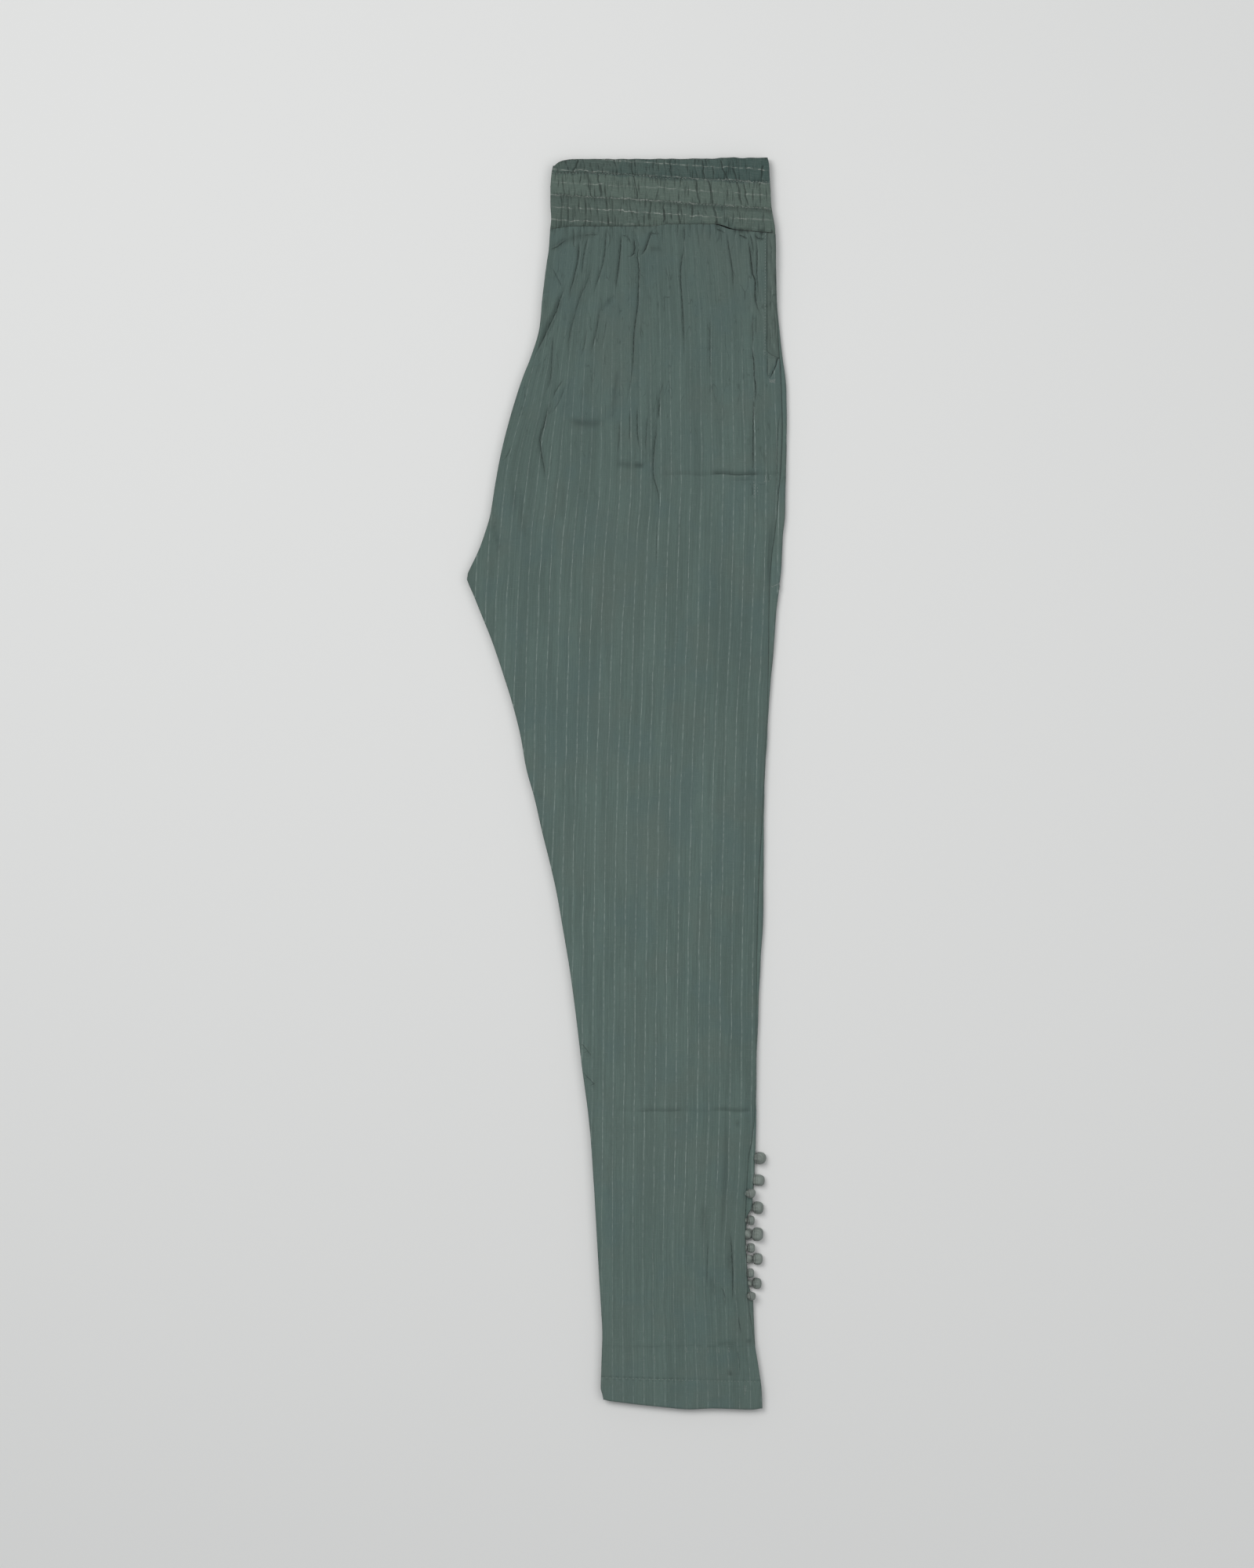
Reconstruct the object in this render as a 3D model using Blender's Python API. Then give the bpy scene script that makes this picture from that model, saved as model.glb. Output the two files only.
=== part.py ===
"""Straight pants with an elastic waistband, folded leg on leg and laid flat.

Seen from above, the waistband is at +Y, the hem at -Y, the rise and the inseam at -X
and the outseam at +X. The front of the upper leg shows. Under it lie its back and the
lower leg, whose outseam shows a little beyond the upper one. Sizes are in millimetres.
"Down" is the distance from the waist edge towards the hem, and x is measured from the
middle of the folded garment.
"""

import math

import bmesh
import bpy
import numpy as np
from mathutils import Vector

MM = 0.001
LENGTH = 956.0
GAP = 0.3

LEG_PILE = 6.3
BAND_PILE = 8.4
PILE_FALLS_FROM = 72.0
PILE_FALLS_TO = 140.0

# Walls of cloth. A rim is how far an edge rounds out, at a share of the wall's height.
PANEL_WALL = 2.0
BAND_WALL = 2.0
FACING_WALL = 1.2
WALL_THINNEST = 1.0
WALL_THICKEST = 3.0
RIM = 0.5
RIM_SHARE = 0.45

# How much thinner the front panel and the band roll off at their side edges, and over what reach.
RISE_ROLL = 0.9
RISE_ROLL_REACH = 6.0
POCKET_ROLL = 0.3
OUTSEAM_ROLL = 0.9
OUTSEAM_ROLL_REACH = 5.0
BAND_ROLL = 0.6
BAND_ROLL_REACH = 3.5

# Edges of the folded garment, a row for each section: how far down it lies, then the x
# of the rise or inseam edge, of the upper leg's outseam and of the lower leg's outseam.
OUTLINE_COLUMNS = ("down", "left", "upper", "lower")
OUTLINE = (
    (0.0, -52.5, 107.3, 107.6),
    (3.6, -55.2, 108.2, 108.6),
    (7.2, -56.7, 108.6, 109.1),
    (14.4, -57.9, 108.9, 109.4),
    (24.0, -58.5, 109.5, 110.0),
    (36.0, -58.5, 110.1, 110.6),
    (46.8, -57.9, 111.9, 112.4),
    (54.0, -58.6, 113.0, 113.6),
    (69.6, -59.7, 113.7, 114.3),
    (81.6, -61.5, 113.7, 114.4),
    (105.6, -64.5, 113.9, 114.9),
    (129.6, -66.9, 115.0, 116.7),
    (153.6, -74.1, 116.4, 119.7),
    (165.6, -78.9, 117.3, 121.4),
    (177.6, -83.1, 117.9, 122.3),
    (201.6, -90.3, 118.5, 122.5),
    (225.6, -96.3, 117.9, 122.0),
    (249.6, -100.8, 116.4, 121.5),
    (273.6, -104.7, 114.3, 120.9),
    (285.6, -108.3, 113.1, 119.8),
    (297.6, -112.5, 111.3, 119.1),
    (309.6, -118.0, 110.1, 118.4),
    (316.5, -121.4, 109.5, 117.8),
    (320.5, -122.5, 109.2, 117.4),
    (324.5, -121.3, 109.0, 117.0),
    (333.6, -117.3, 108.6, 116.1),
    (345.6, -112.5, 108.4, 114.5),
    (369.6, -102.9, 108.2, 112.8),
    (393.6, -94.8, 107.8, 110.8),
    (417.6, -87.3, 107.2, 109.0),
    (441.6, -81.3, 106.0, 107.5),
    (465.6, -77.1, 105.0, 106.0),
    (489.6, -70.5, 103.8, 105.4),
    (513.6, -65.1, 102.7, 104.9),
    (537.6, -59.1, 101.3, 104.7),
    (561.6, -53.7, 100.3, 104.6),
    (585.6, -49.5, 99.7, 104.1),
    (621.6, -43.5, 99.0, 102.0),
    (657.6, -38.7, 98.7, 100.5),
    (693.6, -34.5, 98.2, 99.4),
    (729.6, -29.7, 97.4, 99.3),
    (747.6, -27.9, 95.7, 99.0),
    (762.0, -26.8, 93.2, 98.3),
    (775.0, -26.0, 92.1, 97.9),
    (789.6, -25.0, 91.4, 96.9),
    (801.0, -24.4, 90.8, 96.2),
    (809.0, -23.9, 90.5, 92.2),
    (825.6, -23.0, 90.5, 91.3),
    (846.0, -21.8, 91.5, 92.3),
    (861.6, -20.9, 92.0, 93.2),
    (871.0, -20.3, 92.8, 96.6),
    (879.6, -19.8, 93.5, 96.9),
    (897.6, -18.9, 96.2, 97.6),
    (921.6, -19.6, 100.2, 99.6),
    (939.6, -20.1, 102.8, 101.6),
    (943.5, -19.0, 103.1, 101.9),
    (956.0, -16.5, 103.5, 102.3),
)

# The waist edge, the seam under the band and the hem are gentle curves: x, then down.
WAIST_EDGE = ((-55.0, 3.0), (-49.0, 1.7), (-30.0, 1.1), (40.0, 1.0), (62.0, 0.8), (80.0, 0.0), (108.0, 0.2))
BAND_ROW_1 = ((-58.0, 10.0), (-11.0, 12.4), (7.0, 13.2), (42.0, 16.2), (109.0, 18.4))
BAND_ROW_2 = ((-58.0, 28.8), (-7.5, 31.2), (44.0, 35.3), (110.0, 39.4))
BAND_SEAM = ((-59.0, 54.8), (-42.0, 52.6), (18.0, 52.4), (32.0, 50.9), (66.0, 50.9), (80.0, 54.8),
             (114.0, 58.0))
HEM_EDGE = ((-20.0, 944.0), (-17.0, 948.0), (-2.7, 950.4), (29.7, 954.0), (47.7, 955.5), (66.0, 954.8),
            (95.7, 955.7), (103.5, 954.8))
# Rows of points are level between these two, and bend into the seam or the hem beyond them.
LEVEL_FROM = 70.0
LEVEL_TO = 925.0

# The front panel's own edge at the outseam, which turns in along the pocket mouth.
POCKET_MOUTH = ((50.0, 107.1), (147.0, 107.1), (150.0, 109.5), (153.5, 116.8))
# Rows that the front panel and the strip behind the pocket mouth share.
MOUTH_STATIONS = (70.0, 80.0, 90.0, 100.0, 110.0, 120.0, 130.0, 140.0, 147.0, 150.0)
FACING_FROM = 59.2
FACING_COLUMNS = 4

# Rows and columns of points on the front panel: close at creases and where its edge turns.
FRONT_HEAD = (53.0, 56.5, 60.5, 65.0)
FRONT_BODY = (151.8, 153.5, 160.0, 167.0, 177.0, 187.0, 197.0, 207.0, 217.0, 227.0, 238.5, 241.8, 245.2,
              256.0, 270.0, 284.0, 297.0, 309.0, 316.5, 320.5, 324.5, 333.6)
FRONT_LEG = (348.0, 375.0, 402.0, 429.0, 456.0, 483.0, 510.0, 537.0, 564.0, 591.0, 618.0, 645.0, 672.0,
             699.0)
FRONT_CREASE = (723.5, 727.2, 731.0, 745.0)
FRONT_ANKLE = (762.0, 781.0, 800.0, 819.0, 838.0, 857.0, 869.0, 880.0)
FRONT_HEM = (897.0, 910.0, 922.0, 929.0, 931.8, 935.0, 944.0, 955.0)
FRONT_COLUMNS = 39
# Columns stand closer to the sides than to the middle by this share of the width.
SIDE_CROWDING = 0.05
UNDER_FIRST_ROW = 4

BAND_CHANNELS = 3
BAND_COLUMNS = 114
BAND_ROWS_PER_CHANNEL = 4

HIDDEN_HEAD = (2.0, 5.0, 10.0, 18.0, 30.0, 44.0, 56.0, 70.0, 82.0, 94.0, 106.0, 118.0, 130.0, 142.0)
HIDDEN_BODY = (160.0, 180.0, 205.0, 232.0, 258.0, 280.0, 300.0, 312.0, 320.5, 329.0, 345.0)
HIDDEN_LEG = (380.0, 424.0, 468.0, 512.0, 556.0, 600.0, 644.0, 688.0, 732.0)
HIDDEN_ANKLE = (747.0, 762.0, 780.0, 793.0, 801.0, 805.0, 809.0, 815.0, 826.0, 846.0, 861.0, 866.0,
                871.0, 880.0, 897.0, 920.0, 938.0, 953.5)
HIDDEN_COLUMNS = 6
HIDDEN_LEVEL_FROM = 18.0
HIDDEN_SHORT_AT_WAIST = 0.8
HIDDEN_SHORT_AT_HEM = 0.4
# A hidden layer's rounded lip: share of its own thickness, and how far its edge is drawn in.
LIP = ((0.04, 0.9), (0.24, 0.15), (0.5, 0.0), (0.76, 0.15), (0.96, 0.9))
LIP_TUCK = 0.9
TOP_TUCK = 1.15

# Puckers of the elastic band, a row for each of its three channels: their x.
BAND_PUCKERS = (
    (-51.9, -45.9, -38.9, -33.0, -27.3, -21.9, -17.7, -12.9, -8.6, -3.9, 1.5, 5.9, 10.6, 15.2, 20.3, 29.1,
     34.2, 40.1, 45.6, 52.3, 61.1, 65.8, 71.0, 75.9, 81.1, 85.5, 91.2, 96.7, 103.5),
    (-48.6, -40.5, -35.9, -30.9, -20.4, -16.2, -11.4, -7.5, -3.5, 1.5, 5.1, 9.6, 14.7, 23.3, 28.6, 39.9,
     44.8, 53.9, 59.4, 64.2, 75.9, 80.1, 85.0, 90.3, 96.6, 101.4),
    (-50.1, -45.3, -41.0, -36.3, -31.8, -27.9, -21.9, -14.7, -10.9, -5.1, 0.0, 3.4, 7.6, 13.0, 17.2, 22.5,
     28.5, 34.0, 41.3, 49.5, 54.4, 60.3, 66.9, 75.9, 80.6, 89.7, 95.4, 104.1),
)
BAND_PUCKER_DEPTH = 0.75
BAND_PUCKER_WIDTH = 1.5
BAND_PUCKER_LEAST = 0.45
BAND_CHANNEL_RISE = 0.55
BAND_ROW_RIDGE = 0.3

# Troughs pressed or gathered into the front panel. Each runs in a curve from one end past
# its middle to the other end. "open" is 1 where it starts in the band's seam.
CREASE_COLUMNS = ("x1", "down1", "x2", "down2", "x3", "down3", "depth", "width", "open")
CREASES = (
    (-40.5, 51.0, -38.1, 81.6, -45.3, 109.2, 0.8, 2.6, 1),
    (-30.9, 51.0, -33.9, 78.6, -35.7, 97.0, 0.7, 2.4, 1),
    (-16.5, 51.0, -18.3, 78.6, -26.1, 106.2, 0.8, 2.6, 1),
    (-26.7, 84.0, -39.3, 117.0, -45.3, 160.2, 0.4, 4.5, 0),
    (-5.1, 51.0, -5.7, 72.0, -8.7, 105.0, 0.8, 2.6, 1),
    (8.7, 74.0, 6.3, 130.8, -2.1, 190.2, 0.9, 3.0, 0),
    (43.5, 62.0, 41.1, 103.2, 44.1, 150.0, 0.9, 2.8, 0),
    (76.5, 52.0, 80.7, 88.2, 80.7, 128.4, 0.7, 2.6, 1),
    (63.3, 100.0, 63.3, 139.2, 63.9, 170.0, 0.5, 3.0, 0),
    (92.7, 56.0, 98.7, 100.8, 102.9, 121.0, 0.8, 2.8, 1),
    (-49.5, 98.0, -59.7, 129.6, -69.3, 150.0, 0.9, 3.6, 0),
    (-54.5, 128.0, -57.0, 160.2, -63.3, 183.0, 0.6, 3.2, 0),
    (-61.5, 190.0, -66.3, 216.6, -62.7, 250.0, 0.6, 3.6, 0),
    (-48.9, 170.0, -53.7, 182.0, -58.5, 196.0, 0.4, 4.0, 0),
    (-8.1, 170.0, -10.2, 188.0, -12.3, 208.0, 0.4, 4.0, 0),
    (8.1, 187.0, 8.1, 208.2, 10.5, 226.0, 0.5, 3.2, 0),
    (24.9, 183.0, 20.1, 219.0, 24.3, 256.0, 0.5, 4.0, 0),
    (-59.1, 69.6, -48.3, 64.6, -26.1, 60.0, 0.6, 3.0, 0),
    (5.1, 56.4, 7.1, 66.0, 8.1, 76.0, 0.9, 2.4, 0),
    (19.5, 52.8, 17.0, 66.0, 9.7, 76.0, 1.0, 2.8, 1),
    (-102.3, 274.8, -100.3, 291.0, -96.3, 308.0, 0.6, 4.0, 0),
    (-84.3, 255.6, -81.7, 277.0, -77.1, 298.0, 0.4, 5.0, 0),
    (77.1, 727.8, 74.1, 787.2, 70.5, 845.0, 0.4, 4.5, 0),
    (78.9, 823.0, 81.3, 847.2, 80.7, 868.0, 0.5, 4.0, 0),
    (58.5, 798.0, 58.8, 811.0, 59.1, 824.0, 0.4, 4.5, 0),
    (-35.0, 676.0, -31.0, 681.0, -26.7, 686.5, 0.5, 3.5, 0),
    (-34.0, 698.5, -28.0, 704.0, -22.0, 710.5, 0.5, 3.5, 0),
    (21.3, 241.8, 71.0, 241.8, 119.0, 241.8, 0.7, 2.4, 0),
    (-29.0, 727.2, 30.0, 727.2, 97.0, 727.2, 0.6, 2.4, 0),
)
CREASE_SHOULDER = 0.45
CREASE_SAMPLES = 15
CREASE_FADES_IN_BY = 0.3
CREASE_FADES_FROM = 0.6

POCKET_BAG_EDGE = 96.3
POCKET_BAG_END = 247.0
POCKET_BAG_RISE = 0.45
POCKET_BAG_SLOPE = 2.0
HEM_STITCH_LINE = 931.8
HEM_RISE = 0.4
HEM_GROOVE = 0.35
HEM_GROOVE_WIDTH = 1.5

# Covered ball buttons, a row each: x, down and height of the middle, length along the stalk, diameter.
BUTTON_COLUMNS = ("x", "down", "high", "long", "wide")
LOWER_BUTTONS = (
    (102.4, 763.8, 4.8, 7.0, 9.2),
    (101.3, 780.6, 4.6, 6.9, 9.0),
    (100.3, 802.2, 4.7, 7.4, 9.2),
    (100.2, 822.0, 5.0, 7.4, 9.8),
    (99.9, 840.6, 4.4, 6.8, 8.6),
    (99.8, 859.2, 4.2, 6.6, 8.2),
)
UPPER_BUTTONS = (
    (95.6, 790.6, 8.0, 5.6, 6.8),
    (94.8, 811.4, 6.0, 5.6, 7.0),
    (94.9, 831.6, 5.9, 5.6, 6.8),
    (94.9, 850.0, 5.8, 5.4, 6.6),
    (95.6, 869.4, 7.8, 5.2, 6.6),
)
LOWER_STALK_THICKNESS = 2.8
UPPER_STALK_THICKNESS = 2.2
STALK_TAPER = 0.9
STALK_SHORTEST = 0.25
BUTTON_SIDES = 10
LOWER_STALK_CLEARANCE = 0.6
UPPER_STALK_CLEARANCE = 0.55
# Shares of the hidden pile's height: the root of a lower stalk, and the middle of the upper leg's back.
STALK_ROOT = 0.5
UPPER_BACK_MIDDLE = 5.0 / 6.0

# A button from its stalk's root to its crown: share of the length, share of the radius.
BUTTON_PROFILE = ((0.04, 0.55), (0.15, 0.84), (0.32, 0.98), (0.5, 1.0), (0.7, 0.87), (0.87, 0.6),
                  (0.96, 0.32))

MATERIALS = {
    "front_panel": ((0.096, 0.134, 0.120), 0.86),
    "waistband": ((0.104, 0.139, 0.124), 0.88),
    "hidden_layers": ((0.090, 0.127, 0.113), 0.88),
    "pocket_facing": ((0.094, 0.131, 0.117), 0.86),
    "ball_button": ((0.112, 0.150, 0.134), 0.84),
}


def column(table, names, name):
    """One named column of a table, as an array."""
    return np.array([row[names.index(name)] for row in table])


def smooth_curve(known_at, known, at):
    """A cubic through the known values that never swings past them."""
    known_at = np.asarray(known_at, float)
    known = np.asarray(known, float)
    span = np.diff(known_at)
    rise = np.diff(known) / span
    slope = np.zeros(len(known))
    same_way = rise[:-1] * rise[1:] > 0.0
    product = 2.0 * rise[:-1] * rise[1:]
    total = np.where(same_way, rise[:-1] + rise[1:], 1.0)
    slope[1:-1] = np.where(same_way, product / total, 0.0)
    slope[0] = rise[0]
    slope[-1] = rise[-1]
    at = np.clip(at, known_at[0], known_at[-1])
    i = np.clip(np.searchsorted(known_at, at, side="right") - 1, 0, len(span) - 1)
    t = (at - known_at[i]) / span[i]
    between = known[i] * (1 + 2 * t) * (1 - t) ** 2 + known[i + 1] * t * t * (3 - 2 * t)
    return between + span[i] * (slope[i] * t * (1 - t) ** 2 - slope[i + 1] * t * t * (1 - t))


def edge(name, down):
    """The x of one of the garment's edges at a distance down it."""
    outline_down = column(OUTLINE, OUTLINE_COLUMNS, "down")
    return smooth_curve(outline_down, column(OUTLINE, OUTLINE_COLUMNS, name), down)


def left_edge(down):
    """The x of the rise and inseam edge."""
    return edge("left", down)


def upper_edge(down):
    """The x of the upper leg's outseam."""
    return edge("upper", down)


def lower_edge(down):
    """The x of the lower leg's outseam."""
    return edge("lower", down)


def line_at(line, x):
    """How far down a crossways line lies at x."""
    return smooth_curve([p[0] for p in line], [p[1] for p in line], x)


def front_edge(down):
    """The front panel's outseam edge, which follows the pocket mouth and then the outseam."""
    mouth = smooth_curve([p[0] for p in POCKET_MOUTH], [p[1] for p in POCKET_MOUTH], down)
    return np.where(down < POCKET_MOUTH[-1][0], np.minimum(mouth, upper_edge(down)), upper_edge(down))


def smooth_step(value, start, end):
    """Rises from 0 at start to 1 at end, level at both."""
    t = np.clip((value - start) / (end - start), 0.0, 1.0)
    return t * t * (3.0 - 2.0 * t)


def pile_height(down):
    """Height of the hidden layers, which are thickest under the elastic band."""
    return BAND_PILE + (LEG_PILE - BAND_PILE) * smooth_step(down, PILE_FALLS_FROM, PILE_FALLS_TO)


def rim_order(rows, columns):
    """The border of a grid, once round: along the first row, down the right and back."""
    first = [(0, c) for c in range(columns)]
    right = [(r, columns - 1) for r in range(1, rows)]
    last = [(rows - 1, c) for c in range(columns - 2, -1, -1)]
    left = [(r, 0) for r in range(rows - 2, 0, -1)]
    return first + right + last + left


def add_object(name, mesh_builder, material_key):
    """Makes a named object from a bmesh, with its own material, shaded smooth."""
    mesh = bpy.data.meshes.new(name)
    bmesh.ops.recalc_face_normals(mesh_builder, faces=mesh_builder.faces[:])
    mesh_builder.to_mesh(mesh)
    mesh_builder.free()
    colour, roughness = MATERIALS[material_key]
    material = bpy.data.materials.new(name + "_cloth")
    material.use_nodes = True
    shader = material.node_tree.nodes["Principled BSDF"]
    shader.inputs["Base Color"].default_value = (*colour, 1.0)
    shader.inputs["Roughness"].default_value = roughness
    shader.inputs["Metallic"].default_value = 0.0
    mesh.materials.append(material)
    mesh.shade_smooth()
    thing = bpy.data.objects.new(name, mesh)
    GARMENT.objects.link(thing)
    return thing


def layered_solid(name, levels, material_key, plain_under=None):
    """A closed solid from grids of the same rows and columns, lowest first.

    The first grid is the underside, the last the top, and only the borders of those
    between are used. With plain_under the underside has no inner points. It is either
    "lengthways", where a face joins the first row to the last at each column, or names
    two rows: those bound one flat face at each end, and a face spans each row between.
    """
    rows, columns = levels[0].shape[:2]
    border = rim_order(rows, columns)
    work = bmesh.new()
    placed = []
    for number, grid in enumerate(levels):
        whole = number == len(levels) - 1 or (number == 0 and plain_under is None)
        wanted = [(r, c) for r in range(rows) for c in range(columns)] if whole else border
        placed.append({key: work.verts.new(to_metres(grid[key])) for key in wanted})
    for below, above in zip(placed[:-1], placed[1:]):
        for here, after in zip(border, border[1:] + border[:1]):
            work.faces.new((below[here], below[after], above[after], above[here]))
    grids = [placed[-1]] if plain_under else [placed[0], placed[-1]]
    for points in grids:
        for r in range(rows - 1):
            for c in range(columns - 1):
                work.faces.new((points[r, c], points[r, c + 1], points[r + 1, c + 1], points[r + 1, c]))
    if plain_under == "lengthways":
        under = placed[0]
        far = rows - 1
        for c in range(1, columns - 2):
            work.faces.new((under[0, c], under[0, c + 1], under[far, c + 1], under[far, c]))
        for side, inner in ((0, 1), (columns - 1, columns - 2)):
            half = rows // 2
            for r in range(far):
                work.faces.new((under[r, side], under[r + 1, side], under[0 if r < half else far, inner]))
            work.faces.new((under[half, side], under[0, inner], under[far, inner]))
    elif plain_under:
        under = placed[0]
        first, last = plain_under
        head = [under[0, c] for c in range(columns)]
        head += [under[r, columns - 1] for r in range(1, first + 1)]
        head += [under[r, 0] for r in range(first, 0, -1)]
        work.faces.new(head)
        for r in range(first, last):
            work.faces.new((under[r, 0], under[r, columns - 1], under[r + 1, columns - 1], under[r + 1, 0]))
        tail = [under[r, columns - 1] for r in range(last, rows)]
        tail += [under[rows - 1, c] for c in range(columns - 2, -1, -1)]
        tail += [under[r, 0] for r in range(rows - 2, last - 1, -1)]
        work.faces.new(tail)
    return add_object(name, work, material_key)


def to_metres(point):
    """From x, down and height in millimetres to the part's own frame."""
    x, down, height = point
    return Vector((x * MM, (LENGTH / 2.0 - down) * MM, height * MM))


def panel_grid(stations, across, left_of, right_of, inset, ends=()):
    """Points of a panel. Its rows are level, but bend into the line given for an end.

    Each of the ends is that end's row (0 or -1), its line and how far down the rows are level.
    """
    stations = np.asarray(stations, float)
    down = np.repeat(stations[:, None], len(across), axis=1)
    for row, line, level_at in ends:
        home = stations[row]
        x_there = left_of(home) + across * (right_of(home) - left_of(home))
        share = np.clip((stations - level_at) / (home - level_at), 0.0, 1.0)
        down += share[:, None] * (line_at(line, x_there) - home)[None, :]
    down[0] += inset
    down[-1] -= inset
    left = left_of(down) + inset
    right = right_of(down) - inset
    return left + across[None, :] * (right - left), down


def stack(x, down, height):
    """One grid of points from its x, its distances down and its heights."""
    return np.dstack((x, down, np.broadcast_to(height, x.shape)))


def pushed_out(grid, distance, height):
    """The grid with its border moved out by a distance, at another height."""
    moved = grid.copy()
    moved[:, 0, 0] -= distance
    moved[:, -1, 0] += distance
    moved[0, :, 1] -= distance
    moved[-1, :, 1] += distance
    moved[:, :, 2] = height
    return moved


def cloth_wall(name, x, down, underside_height, wall, plain_under=None):
    """A wall of cloth whose edges round out between its underside and its face."""
    underside = stack(x, down, underside_height)
    middle = pushed_out(underside, RIM, underside[:, :, 2] + RIM_SHARE * wall)
    top = stack(x, down, underside[:, :, 2] + wall)
    layered_solid(name, (underside, middle, top), name, plain_under=plain_under)


def trough(x, down, row):
    """Depth of one crease at each point, with the low shoulders that cloth raises beside it."""
    value = dict(zip(CREASE_COLUMNS, row))
    samples = np.linspace(0.0, 1.0, CREASE_SAMPLES)
    bend_x = 2.0 * value["x2"] - 0.5 * (value["x1"] + value["x3"])
    bend_down = 2.0 * value["down2"] - 0.5 * (value["down1"] + value["down3"])
    start, middle, end = (1 - samples) ** 2, 2 * samples * (1 - samples), samples ** 2
    line_x = start * value["x1"] + middle * bend_x + end * value["x3"]
    line_down = start * value["down1"] + middle * bend_down + end * value["down3"]
    nearest = np.full(x.shape, np.inf)
    along = np.zeros(x.shape)
    for i in range(len(samples) - 1):
        step_x = line_x[i + 1] - line_x[i]
        step_down = line_down[i + 1] - line_down[i]
        t = ((x - line_x[i]) * step_x + (down - line_down[i]) * step_down) / (step_x ** 2 + step_down ** 2)
        t = np.clip(t, 0.0, 1.0)
        away = np.hypot(x - line_x[i] - t * step_x, down - line_down[i] - t * step_down)
        closer = away < nearest
        nearest = np.where(closer, away, nearest)
        along = np.where(closer, (i + t) / (len(samples) - 1), along)
    fade_in = 1.0 if value["open"] else smooth_step(along, 0.0, CREASE_FADES_IN_BY)
    fade = fade_in * (1.0 - smooth_step(along, CREASE_FADES_FROM, 1.0))
    ratio = nearest / value["width"]
    shape = np.exp(-ratio ** 2) - CREASE_SHOULDER * np.exp(-(ratio - 2.0) ** 2)
    return value["depth"] * fade * shape


def ridge(distance, reach):
    """1 along a line, falling away smoothly over a reach on both sides of it."""
    return np.exp(-(distance / reach) ** 2)


def panel_wall(x, down):
    """Thickness of the front panel: its folds, pocket bag and hem, thinner at its edges."""
    wall = np.full(x.shape, PANEL_WALL)
    wall -= RISE_ROLL * ridge(x - left_edge(down), RISE_ROLL_REACH)
    below_mouth = smooth_step(down, POCKET_MOUTH[1][0], POCKET_MOUTH[-1][0])
    outseam_roll = POCKET_ROLL + (OUTSEAM_ROLL - POCKET_ROLL) * below_mouth
    wall -= outseam_roll * ridge(front_edge(down) - x, OUTSEAM_ROLL_REACH)
    for row in CREASES:
        wall -= trough(x, down, row)
    over_bag = smooth_step(x, POCKET_BAG_EDGE - POCKET_BAG_SLOPE, POCKET_BAG_EDGE + POCKET_BAG_SLOPE)
    past_bag = smooth_step(down, POCKET_BAG_END - POCKET_BAG_SLOPE, POCKET_BAG_END + POCKET_BAG_SLOPE)
    wall += POCKET_BAG_RISE * over_bag * (1.0 - past_bag)
    hem_from = HEM_STITCH_LINE - HEM_GROOVE_WIDTH
    hem_to = HEM_STITCH_LINE + 2.0 * HEM_GROOVE_WIDTH
    wall += HEM_RISE * smooth_step(down, hem_from, hem_to)
    wall -= HEM_GROOVE * ridge(down - HEM_STITCH_LINE, HEM_GROOVE_WIDTH)
    return np.clip(wall, WALL_THINNEST, WALL_THICKEST)


def band_wall(x, down, channel, share):
    """Thickness of the waistband: three full channels, pinched by puckers at their stitched rows."""
    at_row = np.cos(np.pi * share) ** 2
    wall = BAND_WALL + BAND_CHANNEL_RISE * np.sin(np.pi * share) + BAND_ROW_RIDGE * at_row ** 4
    pinch = BAND_PUCKER_LEAST + (1.0 - BAND_PUCKER_LEAST) * at_row
    for number, places in enumerate(BAND_PUCKERS):
        near = np.zeros(x.shape)
        for place in places:
            near = np.maximum(near, ridge(x - place, BAND_PUCKER_WIDTH))
        wall = np.where(channel == number, wall - BAND_PUCKER_DEPTH * near * pinch, wall)
    wall -= BAND_ROLL * ridge(x - left_edge(down), BAND_ROLL_REACH)
    wall -= BAND_ROLL * ridge(upper_edge(down) - x, BAND_ROLL_REACH)
    return np.clip(wall, WALL_THINNEST, WALL_THICKEST)


def build_front_panel():
    """The upper leg's front, from the band's seam to the hem: the side of the leg that shows."""
    stations = np.concatenate((
        FRONT_HEAD,
        MOUTH_STATIONS,
        FRONT_BODY,
        FRONT_LEG,
        FRONT_CREASE,
        FRONT_ANKLE,
        FRONT_HEM,
    ))
    spread = np.linspace(0.0, 1.0, FRONT_COLUMNS)
    across = spread - SIDE_CROWDING * np.sin(2.0 * np.pi * spread)
    ends = ((0, BAND_SEAM, LEVEL_FROM), (-1, HEM_EDGE, LEVEL_TO))
    x, down = panel_grid(stations, across, left_edge, front_edge, RIM, ends)
    down[0] += GAP
    under_last_row = int(np.searchsorted(stations, LEVEL_TO)) - 1
    cloth_wall("front_panel", x, down, pile_height(down) + GAP, panel_wall(x, down),
               plain_under=(UNDER_FIRST_ROW, under_last_row))


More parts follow.
